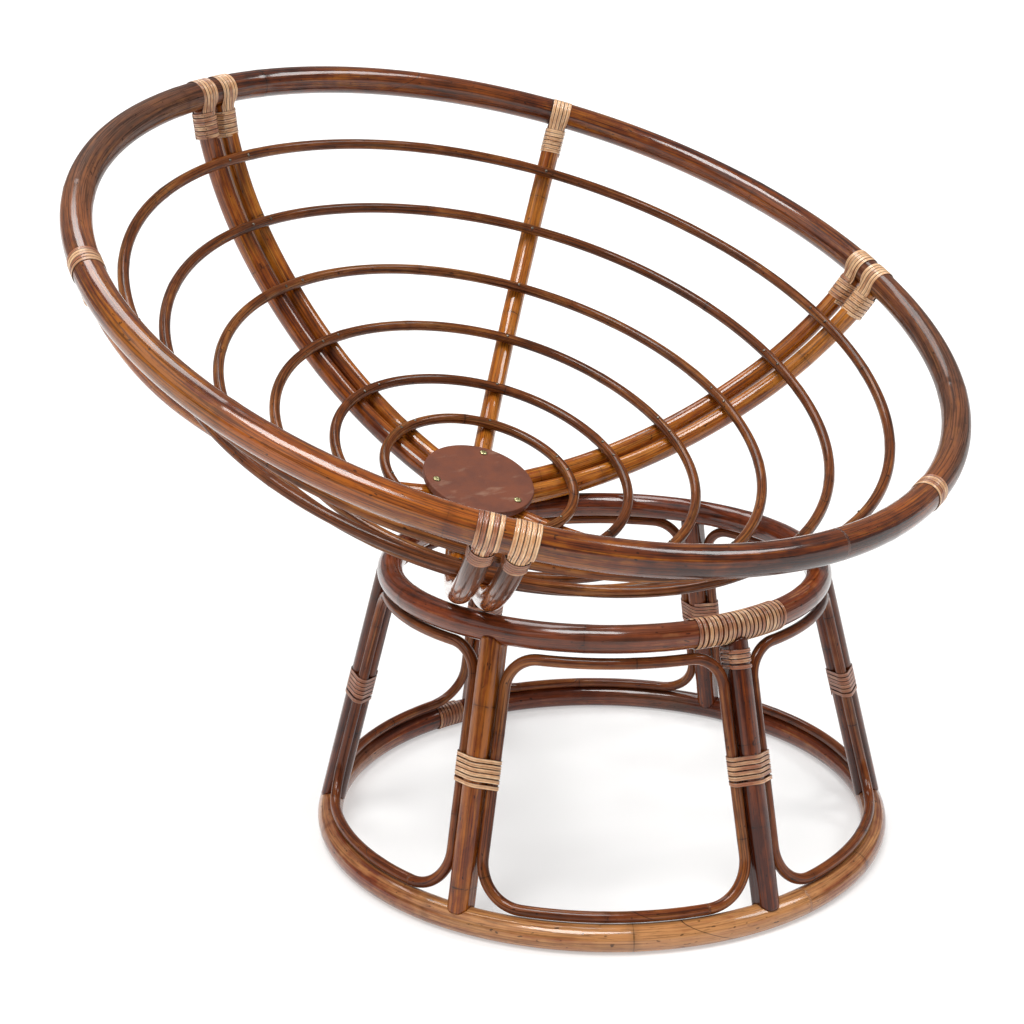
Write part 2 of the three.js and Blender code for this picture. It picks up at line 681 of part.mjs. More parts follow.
// Centreline of a loop, once round its bay: along the bottom ring, up a leg, along the top ring and down
function loopPlaces(bottomReach, topReach) {
  const bottomUp = bottomReach + LOOP_POLE / 2;
  const topUp = legSlant - topReach - LOOP_POLE / 2;
  const bottomCorner = (side) => loopCorner(bottomUp, LOOP_BOTTOM_CORNER, 1, side);
  const topCorner = (side) => loopCorner(topUp, LOOP_TOP_CORNER, -1, side);
  const sections = [bottomCorner(1), topCorner(1).reverse(), topCorner(-1), bottomCorner(-1).reverse()];
  const runs = [LOOP_STEPS.side, LOOP_STEPS.top, LOOP_STEPS.side, LOOP_STEPS.bottom];
  return sections.flatMap((section, index) => {
    const next = sections[(index + 1) % sections.length];
    return [...section, ...between(section.at(-1), next[0], runs[index])];
  });
}

function makeLoop(index) {
  const middle = radians(LEG_BEARING) + (index + 0.5) * bay;
  const besideTopSplice = index === 0 || index === LEGS - 1;
  const onBottomSplice = index === LEGS / 2;
  const reachOver = (splice) => (splice ? spliceReach : ringReach);
  const places = loopPlaces(reachOver(onBottomSplice), reachOver(besideTopSplice));
  const points = places.map(({ up, bearing }) => conePoint(up, bearing));
  const rows = points.map((point, row) => {
    const next = points[(row + 1) % points.length];
    const previous = points.at(row - 1);
    const along = next.clone().sub(previous).normalize();
    const normal = coneNormal(places[row].bearing);
    const out = normal.addScaledVector(along, -normal.dot(along)).normalize();
    const frame = { origin: point, across: out.clone().cross(along), out, along };
    return polygonShape(LOOP_POLE / 2, LOOP_SIDES)
      .getPoints()
      .slice(0, LOOP_SIDES)
      .map((corner) => inFrame(frame, corner.x, corner.y, 0));
  });
  const mesh = makeMesh(`brace_loop_${index + 1}`, skin(rows, true), 'loop');
  mesh.rotation.z = middle;
  return mesh;
}

// How far a leg's section reaches at an angle from its planed sides
function legReach(angle) {
  const [x, y] = [Math.abs(Math.cos(angle)), Math.abs(Math.sin(angle))];
  const flat = LEG_THICKNESS / 2;
  const radius = LEG_POLE / 2;
  return radius * x <= flat ? radius : flat * x + Math.sqrt(radius ** 2 - flat ** 2) * y;
}

// The same for a leg with a loop's side against each planed side; the loops lie a little further in
function bundleReach(angle) {
  const radius = coneRadius(LEG_LASHING_SHARE * legSlant);
  const inset = radius - Math.sqrt(radius ** 2 - loopOffset ** 2);
  const loops = loopOffset * Math.abs(Math.cos(angle)) - inset * Math.sin(angle) + LOOP_POLE / 2;
  return Math.max(legReach(angle), loops);
}

function makeLegLashing(index) {
  const bearing = radians(LEG_BEARING) + index * bay;
  const rows = turnRows({
    frameAt: (up) => legFrame(bearing, up),
    reach: (angle) => bundleReach(angle) + JOINT_GAP,
    start: LEG_LASHING_SHARE * legSlant - (LEG_TURNS * widePitch) / 2,
    pitch: widePitch,
    turns: LEG_TURNS,
    width: WIDE_CANE,
  });
  return makeBinding(`leg_lashing_${index + 1}`, rows, widePitch);
}

function makeHeadLashing() {
  const rows = turnRows({
    frameAt: (down) => legFrame(radians(LEG_BEARING), legSlant - spliceReach - WIDE_CANE / 2 - down),
    reach: (angle) => legReach(angle) + JOINT_GAP,
    start: TURN_GAP,
    pitch: widePitch,
    turns: HEAD_TURNS,
    width: WIDE_CANE,
  });
  return makeBinding('leg_head_lashing', rows, widePitch);
}

// A splice's binding round a base ring, with its pitch measured on the inside of the ring's bend. `under` is
// how far its inner face lies below the ring's middle.
function makeSplice(name, ring, splice, under) {
  const radius = ring.radius - baseBow / 2;
  const frameAt = (place) => {
    const bearing = radians(splice.bearing) + place / (radius - spliceReach);
    const [x, y] = [Math.sin(bearing), -Math.cos(bearing)];
    const origin = new THREE.Vector3(radius * x, radius * y, ring.height);
    const along = new THREE.Vector3(-y, x, 0);
    return { origin, across: new THREE.Vector3(x, y, 0), out: new THREE.Vector3(0, 0, 1), along };
  };
  const rows = turnRows({
    frameAt,
    reach: (angle) => (Math.sin(angle) < -Math.cos(HALF_TURN / TURN_STEPS) ? under : spliceInside),
    start: (-splice.turns * widePitch) / 2,
    pitch: widePitch,
    turns: splice.turns,
    width: WIDE_CANE,
  });
  return makeBinding(name, rows, widePitch);
}

function makeBase() {
  const base = new THREE.Group();
  const indexes = Array.from({ length: LEGS }, (_, index) => index);
  base.add(makeBaseRing('base_ring_bottom', bottomRing, [planedSpace()]));
  base.add(makeBaseRing('base_ring_top', topRing, []));
  base.add(...makeLegs(), ...indexes.map(makeLoop), ...indexes.map(makeLegLashing));
  base.add(makeSplice('splice_top', topRing, TOP_SPLICE, spliceInside));
  base.add(makeSplice('splice_bottom', bottomRing, BOTTOM_SPLICE, underInside));
  base.add(makeHeadLashing());
  base.position.y = baseMiddle;
  return base;
}

const chair = new THREE.Group();
chair.add(makeBase(), makeBowl());

export default chair;
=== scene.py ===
"""Looks of a bare rattan bowl chair frame: bent poles, slim rings and bindings of split cane.

Lengths are metres, +Z is up and the floor is Z = 0. The bowl's pieces are worked out in the bowl's own frame,
whose origin is the middle of the ball that the ribs lie on and whose Z is the bowl's axis. They are then
tilted into place. Bearings are angles about an upright axis, from -Y (the low side of the rim) towards +X.
"""

from __future__ import annotations

import logging
import math
from dataclasses import dataclass, field
from enum import Enum
from functools import cache
from typing import Callable, NamedTuple, Sequence

import bpy
import numpy as np
from mathutils import Matrix, Vector

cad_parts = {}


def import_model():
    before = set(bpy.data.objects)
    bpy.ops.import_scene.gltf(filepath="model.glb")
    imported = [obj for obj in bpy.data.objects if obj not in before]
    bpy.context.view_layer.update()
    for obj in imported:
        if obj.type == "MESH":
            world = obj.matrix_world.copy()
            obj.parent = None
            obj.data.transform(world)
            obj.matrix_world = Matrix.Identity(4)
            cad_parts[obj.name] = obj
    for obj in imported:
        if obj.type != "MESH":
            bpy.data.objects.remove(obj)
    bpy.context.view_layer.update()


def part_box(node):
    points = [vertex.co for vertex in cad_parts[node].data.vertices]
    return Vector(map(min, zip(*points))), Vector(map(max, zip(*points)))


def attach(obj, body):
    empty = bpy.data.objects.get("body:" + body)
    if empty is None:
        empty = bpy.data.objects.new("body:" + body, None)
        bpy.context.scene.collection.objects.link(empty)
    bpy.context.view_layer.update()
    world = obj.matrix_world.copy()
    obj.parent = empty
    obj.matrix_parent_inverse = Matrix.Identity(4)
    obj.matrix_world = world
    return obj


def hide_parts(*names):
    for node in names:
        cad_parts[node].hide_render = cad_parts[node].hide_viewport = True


LOG = logging.getLogger("rattan_chair")
FULL_TURN = 2 * math.pi
SKIN_GAP = 0.0001  # how far a skin stays inside the pole of the solids
CANE_GAP = 0.0002  # between a pole and the cane on it

Array = np.ndarray
Socket = bpy.types.NodeSocket
Outline = Callable[[Array], Array]  # a bundle's reach at angles
Frames = Callable[[Array], tuple[Array, Array, Array]]  # points, and directions across and out, at places

UP = np.array([0.0, 0.0, 1.0])


class Body(Enum):
    """The two bodies that pieces ride on."""

    BASE = "base"
    BOWL = "bowl"


class Slot(Enum):
    """The record's material slots."""

    RIM = "rim_pole"
    RIB = "rib_pole"
    RING = "ring_pole"
    BASE = "base_pole"
    LEG = "leg_pole"
    LOOP = "loop_pole"
    CANE = "cane"
    BOARD = "hub_board"
    BRASS = "screw_brass"


def unit(vectors: Array) -> Array:
    """Return the vectors, each divided by its own length."""
    return vectors / np.linalg.norm(vectors, axis=-1, keepdims=True)


def towards(bearing: Array | float) -> Array:
    """Return level directions at bearings: the sine along X and minus the cosine along Y."""
    return np.stack([np.sin(bearing), -np.cos(bearing), 0 * bearing], axis=-1)


def bearing_of(points: Array) -> Array:
    """Return the bearings of points about the Z axis."""
    return np.arctan2(points[:, 0], -points[:, 1])


def turned(points: Array, angle: float) -> Array:
    """Return points or directions turned about +Z, by an angle from +X towards +Y."""
    cosine, sine = math.cos(angle), math.sin(angle)
    return points @ np.array([[cosine, sine, 0.0], [-sine, cosine, 0.0], [0.0, 0.0, 1.0]])


def smoothed(rows: Array, reach: int) -> Array:
    """Average each row with its neighbours, twice, with both ends held.

    Args:
        rows: numbers along a line.
        reach: how many neighbours count on each side.

    Returns:
        The smoothed rows.
    """
    kernel = np.ones(2 * reach + 1) / (2 * reach + 1)
    for _ in range(2):
        padded = np.concatenate([np.repeat(rows[:1], reach, 0), rows, np.repeat(rows[-1:], reach, 0)])
        rows = np.stack([np.convolve(column, kernel, "valid") for column in padded.T], axis=1)
    return rows


@dataclass
class Skin:
    """A closed surface: its points, its faces and the values that its finish reads at each point."""

    points: Array
    faces: list[Array]
    values: dict[str, Array]

    @staticmethod
    def joined(skins: Sequence[Skin]) -> Skin:
        """Join skins side by side.

        Args:
            skins: the skins, which all carry values of the same names.

        Returns:
            One skin that holds them all.
        """
        starts = np.cumsum([0] + [len(skin.points) for skin in skins[:-1]])
        return Skin(
            np.concatenate([skin.points for skin in skins]),
            [face + start for skin, start in zip(skins, starts) for face in skin.faces],
            {name: np.concatenate([skin.values[name] for skin in skins]) for name in skins[0].values},
        )

    def moved(self, move: Callable[[Array], Array]) -> Skin:
        """Return the same skin with its points moved by a function of all of them."""
        return Skin(move(self.points), self.faces, self.values)

    def turned(self, angle: float) -> Skin:
        """Return the same skin turned about +Z."""
        return self.moved(lambda points: turned(points, angle))


@dataclass
class Path:
    """A line that a section is carried along: its points, and the way in which its top faces at each."""

    points: Array
    out: Array
    closed: bool = False
    travel: Array = field(init=False)
    along: Array = field(init=False)

    def __post_init__(self) -> None:
        """Work out the distance travelled and the directions along the line and square to it."""
        if self.closed:
            self.along = unit(np.roll(self.points, -1, 0) - np.roll(self.points, 1, 0))
            self.points, self.out, self.along = (
                np.concatenate([rows, rows[:1]]) for rows in (self.points, self.out, self.along)
            )
        else:
            self.along = unit(np.gradient(self.points, axis=0))
        steps = np.linalg.norm(np.diff(self.points, axis=0), axis=1)
        self.travel = np.concatenate([[0.0], np.cumsum(steps)])
        self.out = unit(self.out - self.along * np.sum(self.out * self.along, axis=1, keepdims=True))

    @property
    def length(self) -> float:
        """Return how long the line is."""
        return float(self.travel[-1])

    def at(self, distance: Array) -> tuple[Array, Array, Array]:
        """Read the line at distances along it, by straight steps between its points.

        Args:
            distance: metres from its start, in any shape.

        Returns:
            Points, outward directions and directions along, each with one more axis than `distance`.
        """
        points, out, along = (
            np.stack([np.interp(distance, self.travel, column) for column in rows.T], axis=-1)
            for rows in (self.points, self.out, self.along)
        )
        return points, unit(out), unit(along)


def ring_path(radius: float, height: float, count: int) -> Path:
    """Return a level circle about the Z axis as a closed path of even points."""
    out = towards(np.linspace(0, FULL_TURN, count, endpoint=False))
    return Path(radius * out + height * UP, out, closed=True)


def grid_faces(rows: int, columns: int, closed: bool = False) -> list[Array]:
    """List the faces over a grid whose columns go round a section and whose rows go along it.

    Args:
        rows: how many sections there are.
        columns: how many points each section has.
        closed: whether the last section joins the first. Otherwise two more points, the middles of the first
            and the last section, close the ends as fans.

    Returns:
        Arrays of corner numbers, with the faces outwards.
    """
    row, column = np.meshgrid(np.arange(rows if closed else rows - 1), np.arange(columns), indexing="ij")
    here, after, beside = row * columns, (row + 1) % rows * columns, (column + 1) % columns
    corners = [here + column, here + beside, after + beside, after + column]
    faces = [np.stack(corners, axis=-1).reshape(-1, 4)]
    if not closed:
        first = np.arange(columns)
        second = (first + 1) % columns
        last, middle = (rows - 1) * columns, np.full(columns, rows * columns)
        faces.append(np.stack([second, first, middle], axis=1))
        faces.append(np.stack([last + first, last + second, middle + 1], axis=1))
    return faces


@dataclass(frozen=True)
class Marks:
    """What shows along a pole: its joints of growth, its seam, its tone, and where its grain starts."""

    knots: tuple[float, ...] = ()
    seam: float = -9.0  # off the pole
    seam_slope: float = 2.2
    tone: float = 0.0
    start: float = 0.0


NO_KNOT = 0.05  # the distance to a joint of growth counts up to here
KNOT_REACH = 0.006  # how far its swelling runs
KNOT_MOVE = 0.3  # at most, of the distance between two joints of growth
WANDER = ((5, 40, 0.35), (11, 90, 0.3))  # waves in a path, phase for each unit of start, and depth
WANDER_TOP = 0.65  # the depths together


def sweep(
    path: Path,
    section: Array,
    rows: int | None = None,
    marks: Marks = Marks(),
    trims: tuple[Array | float, Array | float] = (0.0, 0.0),
    swell: float = 0.0,
) -> Skin:
    """Carry a section along a path. A point is the path's point, plus the section's first number outwards and
    its second number across, both times a thickness that swells at each knot and wanders between them.

    Args:
        path: the line to follow.
        section: rows of (outwards, across), going round from outwards to across.
        rows: how many sections, evenly spaced, or None for one at each of the path's own points.
        marks: the pole's knots, seam and tone.
        trims: how much shorter each column of the grid is at the start and at the end, for coped ends.
        swell: how much thicker the pole is at a knot, as a share.

    Returns:
        The closed skin.
    """
    columns = len(section)
    if rows is None:
        distance = np.repeat(path.travel[:, None], columns, axis=1)
    elif path.closed:
        distance = np.repeat(np.linspace(0, path.length, rows, endpoint=False)[:, None], columns, axis=1)
    else:
        first = np.zeros(columns) + trims[0]
        last = path.length - np.zeros(columns) - trims[1]
        distance = first + np.linspace(0, 1, rows)[:, None] * (last - first)
    centre, out, along = path.at(distance)
    gaps = [np.abs(distance - knot) for knot in marks.knots]
    if path.closed:
        gaps += [path.length - gap for gap in gaps]
    knot = np.minimum.reduce(gaps + [np.full(distance.shape, NO_KNOT)])
    turns = FULL_TURN * distance / path.length
    wander = sum(depth * np.sin(waves * turns + marks.start * phase) for waves, phase, depth in WANDER)
    thickness = 1 + swell * (np.exp(-((knot / KNOT_REACH) ** 2)) - 1 + (wander - WANDER_TOP) / 2)
    points = centre + thickness[..., None] * (section[:, :1] * out + section[:, 1:] * np.cross(along, out))
    spots = [distance + marks.start, *(np.broadcast_to(column, distance.shape) for column in section.T)]
    points = points.reshape(-1, 3)
    values = {
        "grain": np.stack(spots, axis=-1).reshape(-1, 3),
        "knot": knot.ravel(),
        "seam": (distance - marks.seam - marks.seam_slope * section[:, 1]).ravel(),
        "tone": np.full(distance.size, marks.tone),
    }
    if not path.closed:
        ends = slice(0, columns), slice(-columns, None)

        def capped(rows: Array) -> Array:
            """Return the rows with the means of the first and of the last section after them."""
            return np.concatenate([rows] + [rows[end].mean(0, keepdims=True) for end in ends])

        points, values = capped(points), {name: capped(value) for name, value in values.items()}
    return Skin(points, grid_faces(len(distance), columns, path.closed), values)


def circle(columns: int) -> Array:
    """Return the cosines and sines of even angles."""
    angle = np.linspace(0, FULL_TURN, columns, endpoint=False)
    return np.stack([np.cos(angle), np.sin(angle)], axis=1)


def lathe(
    radius: Array, height: Array, ends: tuple[float, float], columns: int, move: Callable[[Array], Array]
) -> Skin:
    """Turn a profile about the Z axis. A point is at the profile's radius, at even angles, and at its height.

    Args:
        radius: the profile's radii, from the middle of the upper face outwards and on to the lower end.
        height: a row of heights for each radius, with one column or one for each angle.
        ends: the heights of the two middles.
        columns: how many angles.
        move: sets the points where their grain is read.

    Returns:
        The closed skin, whose grain is its own coordinates.
    """
    level = radius[:, None, None] * circle(columns)
    heights = np.broadcast_to(height, (len(radius), columns))[..., None]
    points = np.concatenate([level, heights], axis=-1).reshape(-1, 3)
    points = move(np.concatenate([points, [[0, 0, end] for end in ends]]))
    nothing = np.zeros(len(points))
    values = {"grain": points.copy(), "knot": nothing + NO_KNOT, "seam": nothing + 1, "tone": nothing}
    return Skin(points, [faces[:, ::-1] for faces in grid_faces(len(radius), columns)], values)


def cane_strand(points: Array, normal: Array, width: float, thickness: float, marks: Marks) -> Skin:
    """Carry a split cane's section along a line of points. The section is flat below, and above it has two
    low crowns with a groove between them.

    Args:
        points: the line that the cane's inner face follows.
        normal: the direction that its outer face looks in at each point.
        width: the cane's width.
        thickness: the cane's thickness.
        marks: the cane's tone and where its grain starts.

    Returns:
        The strand's skin, whose `seam` value says how far across it a point lies, from -1 to 1.
    """
    side = np.array([0.14, 0.34, 0.6, 0.84, 0.97, 1.0, 0.94])
    rise = np.array([0.8, 0.97, 1.0, 0.88, 0.6, 0.3, 0.0])
    groove = 0.62
    across = np.concatenate([[0.0], side, [0.0], -side[::-1]])
    height = np.concatenate([[groove], rise, [0.0], rise[::-1]])
    section = np.stack([height * thickness, across * width / 2], axis=1)
    skin = sweep(Path(points, normal), section, marks=marks)
    skin.values["seam"] = np.concatenate([np.tile(across, len(points)), [0.0, 0.0]])
    return skin


def outline_point(angle: Array, reach: Outline) -> tuple[Array, Array]:
    """Find where a bundle's outline is touched by the line square to an angle. With h the outline's reach at
    the angle and h' how fast the reach grows, the point is h along the angle plus h' square to it.

    Args:
        angle: radians.
        reach: the outline's reach at an angle.

    Returns:
        The point's two coordinates.
    """
    step = 1e-3
    here, slope = reach(angle), (reach(angle + step) - reach(angle - step)) / (2 * step)
    cosine, sine = np.cos(angle), np.sin(angle)
    return here * cosine - slope * sine, here * sine + slope * cosine


@dataclass(frozen=True)
class Winding:
    """Turns of one strand of cane: their number, pitch and width, and how they are drawn."""

    count: int
    pitch: float
    width: float
    thickness: float = 0.0010
    steps: int = 56
    uneven: float = 0.0004

    def turn(self, rng: np.random.Generator) -> tuple[Array, Array]:
        """Space the strand's points evenly and draw how it strays, at random for each turn.

        Args:
            rng: the random numbers.

        Returns:
            Even places counted in turns, and how far the strand strays at each.
        """
        turn = np.linspace(0, self.count, self.count * self.steps)
        stray = rng.uniform(-self.uneven, self.uneven, self.count + 1)
        return turn, np.interp(turn, np.arange(self.count + 1), stray)

    def wound(self, frames: Frames, reach: Outline, places: Array, angles: Array, marks: Marks) -> Skin:
        """Wind the strand round a bundle. A point is the frame's point, plus the outline's point in the plane
        across and out.

        Args:
            frames: the frames along the bundle.
            reach: the bundle's outline.
            places: how far along the bundle each point lies.
            angles: the angle of each point, from across towards out.
            marks: the strand's tone and where its grain starts.

        Returns:
            The strand's skin.
        """
        origin, across, out = frames(places)
        x, y = (row[:, None] for row in outline_point(angles, reach))
        normal = np.cos(angles)[:, None] * across + np.sin(angles)[:, None] * out
        return cane_strand(origin + x * across + y * out, normal, self.width, self.thickness, marks)


def straight_frames(origin: Array, across: Array, out: Array) -> Frames:
    """Return frames along a straight line through `origin`, square to `across` and `out`."""
    along = np.cross(out, across)
    return lambda places: (origin + places[:, None] * along, across, out)


def linear(colour: str) -> tuple[float, float, float, float]:
    """Work out a screen colour's scene-linear values.

    Args:
        colour: the screen colour as six hexadecimal digits.

    Returns:
        Red, green, blue and alpha.
    """
    shares = [int(colour[place : place + 2], 16) / 255 for place in (0, 2, 4)]
    red, green, blue = (s / 12.92 if s <= 0.04045 else ((s + 0.055) / 1.055) ** 2.4 for s in shares)
    return red, green, blue, 1.0


class Grain(NamedTuple):
    """Noise in a piece's grain: how fine it is along and round the pole, where it is read, and its detail."""

    along: float
    around: float
    shift: float = 0.0
    detail: float = 2.0


class Tree:
    """Short calls that lay out one material's nodes."""

    smooth = {"interpolation_type": "SMOOTHSTEP"}

    def __init__(self, name: str) -> None:
        """Start a new material with an empty tree.

        Args:
            name: the material's name.
        """
        self.material = bpy.data.materials.new(name)
        self.material.use_nodes = True
        self.material.node_tree.nodes.clear()

    def feed(self, socket: Socket, value: object) -> None:
        """Link an output to an input, or set the input's own value.

        Args:
            socket: the input.
            value: an output, a number, a colour or a colour's six digits.
        """
        if isinstance(value, Socket):
            self.material.node_tree.links.new(value, socket)
        else:
            socket.default_value = linear(value) if isinstance(value, str) else value

    def add(self, kind: str, settings: dict[str, object], **inputs: object) -> bpy.types.Node:
        """Add a node.

        Args:
            kind: the node's type, without its prefix.
            settings: the node's own settings by name.
            inputs: values or outputs for its inputs, by name with _ for a space.

        Returns:
            The node.
        """
        node = self.material.node_tree.nodes.new("ShaderNode" + kind)
        for key, value in settings.items():
            setattr(node, key, value)
        for key, value in inputs.items():
            self.feed(node.inputs[key.replace("_", " ")], value)
        return node

    def value(self, name: str) -> Socket:
        """Return the number that the piece carries under a name."""
        return self.add("Attribute", {"attribute_name": name}).outputs["Fac"]

    def noise(self, grain: Grain) -> Socket:
        """Lay soft noise in the piece's grain.

        Args:
            grain: how fine it is, where it is read, and its detail.

        Returns:
            The noise, from 0 to 1.
        """
        spot = self.add("Attribute", {"attribute_name": "grain"}).outputs["Vector"]
        scale, shift = (grain.along, grain.around, grain.around), (grain.shift,) * 3
        spot = self.add("Mapping", {}, Vector=spot, Scale=scale, Location=shift).outputs["Vector"]
        return self.add("TexNoise", {}, Vector=spot, Scale=1.0, Detail=grain.detail).outputs["Fac"]

    def ramp(self, level: Socket, stops: Sequence[tuple[float, str]]) -> Socket:
        """Pick a colour from stops.

        Args:
            level: what picks it, from 0 to 1.
            stops: each stop's place and colour.

        Returns:
            The colour.
        """
        node = self.add("ValToRGB", {}, Fac=level)
        elements = node.color_ramp.elements
        while len(elements) < len(stops):
            elements.new(0.5)
        for element, (place, colour) in zip(elements, stops):
            element.position = place
            element.color = linear(colour)
        return node.outputs["Color"]

    def range(self, level: Socket, low: float, high: float, at_low: float, at_high: float) -> Socket:
        """Return what goes smoothly from one number, where the level is low, to another, where it is high."""
        ends = {"From_Min": low, "From_Max": high, "To_Min": at_low, "To_Max": at_high}
        return self.add("MapRange", self.smooth, Value=level, **ends).outputs["Result"]

    def math(self, kind: str, *parts: object) -> Socket:
        """Work numbers and outputs together, one after another.

        Args:
            kind: the kind of sum.
            parts: what is worked together, or one part where the kind takes no other.

        Returns:
            The result.
        """
        result, others = parts[0], parts[1:] or (0.0,)
        for part in others:
            node = self.add("Math", {"operation": kind})
            self.feed(node.inputs[0], result)
            self.feed(node.inputs[1], part)
            result = node.outputs[0]
        return result

    def blend(self, *parts: tuple[Socket, float]) -> Socket:
        """Return the sum of some levels, each times its share."""
        return self.math("ADD", *(self.math("MULTIPLY", level, share) for level, share in parts))

    def mix(self, share: object, first: object, second: object, kind: str = "MIX") -> Socket:
        """Mix two colours, each an output or six hexadecimal digits.

        Args:
            share: how much of the second colour is taken.
            first: the first colour.
            second: the second colour.
            kind: the way they are mixed.

        Returns:
            The mixed colour.
        """
        node = self.add("Mix", {"data_type": "RGBA", "blend_type": kind})
        for place, value in ((0, share), (6, first), (7, second)):
            self.feed(node.inputs[place], value)
        return node.outputs[2]

    def shaded(self, colour: Socket, *levels: Socket) -> Socket:
        """Darken a colour.

        Args:
            colour: what is darkened.
            levels: from 1, where each leaves the colour as it is, to 0, where it makes it black.

        Returns:
            The darker colour.
        """
        level = self.math("MULTIPLY", *levels)
        grey = self.add("CombineColor", {}, Red=level, Green=level, Blue=level).outputs[0]
        return self.mix(1.0, colour, grey, "MULTIPLY")

    def bump(self, height: Socket, distance: float, before: Socket | None = None) -> Socket:
        """Return a normal roughened by a height from 0 to 1 that stands for a distance in metres."""
        under = {} if before is None else {"Normal": before}
        return self.add("Bump", {}, Height=height, Strength=1.0, Distance=distance, **under).outputs["Normal"]

    def surface(self, **inputs: object) -> bpy.types.Material:
        """Finish the material with the main shader.

        Args:
            inputs: the shader's inputs by name with _ for a space.

        Returns:
            The material.
        """
        shader = self.add("BsdfPrincipled", {}, **inputs)
        self.add("OutputMaterial", {}, Surface=shader.outputs[0])
        return self.material


@dataclass(frozen=True)
class Finish:
    """A material: its name, and the slot of the record that it stands for."""

    name: str
    slot: Slot | None

    def dress(self, tree: Tree) -> bpy.types.Material:
        """Lay out the material's nodes and return it."""
        raise NotImplementedError

    @cache
    def material(self) -> bpy.types.Material:
        """Return the material, which is made once."""
        return self.dress(Tree(self.name))


@dataclass(frozen=True)
class PoleFinish(Finish):
    """Stained, varnished rattan: fine dark pores, streaks, patches of thin and thick stain, joints of growth,
    places rubbed dull and grey, a clear coat."""

    stain: tuple[str, str, str]
    amber: str
    amber_share: float
    pores: float
    rough: float = 0.34
    coat: float = 0.3
    coat_rough: float = 0.1
    evenness: float = 0.12
    worn: str = "644e40"

    streaks = Grain(8, 260, 0, 3)
    patches = Grain(5, 24, 3)
    mottle = Grain(55, 90, 9, 3)
    thin_stain = Grain(3.4, 16, 5)
    pore_lines = Grain(13, 700, 7, 3)
    flecks = Grain(60, 480, 13)
    specks = Grain(120, 240, 11, 1)
    knot_edge = Grain(30, 160, 0, 1)
    knot_stray = 0.0018
    relief = Grain(2.2, 45, 3)
    ripple = Grain(16, 210, 5, 3)
    base_shine = 0.06
    shares = (0.42, 0.36, 0.22, 0.13)  # of the streaks, the patches, the mottle and the tone
    pore_ends = (0.46, 0.6)  # where the range starts and ends
    rough_ends = (0.35, 0.65)
    rough_steps = (0.08, -0.04)  # from the finish's own roughness, at the two ends
    amber_noise = (0.5, 0.7, 0.0, 1.0)  # in each range, where it starts and ends, and what it gives there
    amber_tone = (-0.8, 0.2, 0.0, 1.0)
    fleck_range = (0.6, 0.7, 1.0, 0.66)
    speck_range = (0.7, 0.76, 1.0, 0.3)
    scar_range = (0.001, 0.0024, 0.35, 1.0)
    halo_range = (0.001, 0.010, 0.8, 1.0)
    seam_range = (0.0003, 0.0011, 0.25, 1.0)
    worn_share = 0.8  # of the worn colour
    worn_rough = 0.16
    worn_most = 0.8  # where the coat is thinnest
    worn_coat = 0.3
    bumps = (0.0008, 0.00026, 0.00026)  # of the relief, the ripple and the pores

    def wood(self, tree: Tree, streak: Socket) -> Socket:
        """Lay out the stained wood: a ramp over streaks, patches and mottle, amber where the stain is thin.

        Args:
            tree: the material's nodes.
            streak: the streaks, from 0 to 1.

        Returns:
            The wood's colour.
        """
        tone = tree.value("tone")
        levels = streak, tree.noise(self.patches), tree.noise(self.mottle), tone
        level = tree.blend(*zip(levels, self.shares))
        places = 0.5 - self.evenness, 0.5, 0.5 + self.evenness
        wood = tree.ramp(level, list(zip(places, self.stain)))
        thin = tree.range(tree.noise(self.thin_stain), *self.amber_noise)
        share = tree.math("MULTIPLY", thin, self.amber_share, tree.range(tone, *self.amber_tone))
        wood = tree.mix(share, wood, self.amber)
        return tree.mix(tree.math("MULTIPLY", tree.value("worn"), self.worn_share), wood, self.worn)

    def dress(self, tree: Tree) -> bpy.types.Material:
        """Lay out the wood, darkened by pores, flecks, specks, knots and the seam, and the coat over it.

        Args:
            tree: the material's nodes.

        Returns:
            The material.
        """
        streak = tree.noise(self.streaks)
        lines = tree.range(tree.noise(self.pore_lines), *self.pore_ends, 1.0, 1.0 - self.pores)
        flecks = tree.range(tree.noise(self.flecks), *self.fleck_range)
        specks = tree.range(tree.noise(self.specks), *self.speck_range)
        edge = tree.math("MULTIPLY", tree.noise(self.knot_edge), self.knot_stray)
        knot = tree.math("ADD", tree.value("knot"), edge)
        scar = tree.range(knot, *self.scar_range)
        halo = tree.range(knot, *self.halo_range)
        seam = tree.range(tree.math("ABSOLUTE", tree.value("seam")), *self.seam_range)
        worn = tree.value("worn")
        rough = tree.range(streak, *self.rough_ends, *(self.rough + step for step in self.rough_steps))
        relief = tree.bump(tree.noise(self.relief), self.bumps[0])
        smooth = tree.bump(tree.noise(self.ripple), self.bumps[1], relief)
        height = tree.math("MULTIPLY", tree.math("ADD", lines, flecks, scar), seam)
        return tree.surface(
            Base_Color=tree.shaded(self.wood(tree, streak), lines, flecks, specks, scar, halo, seam),
            Roughness=tree.math("ADD", rough, tree.math("MULTIPLY", worn, self.worn_rough)),
            Normal=tree.bump(height, self.bumps[2], smooth),
            Specular_IOR_Level=self.base_shine,
            Coat_Weight=tree.range(worn, 0.0, self.worn_most, self.coat, self.worn_coat * self.coat),
            Coat_Roughness=self.coat_rough,
            Coat_Normal=smooth,
        )


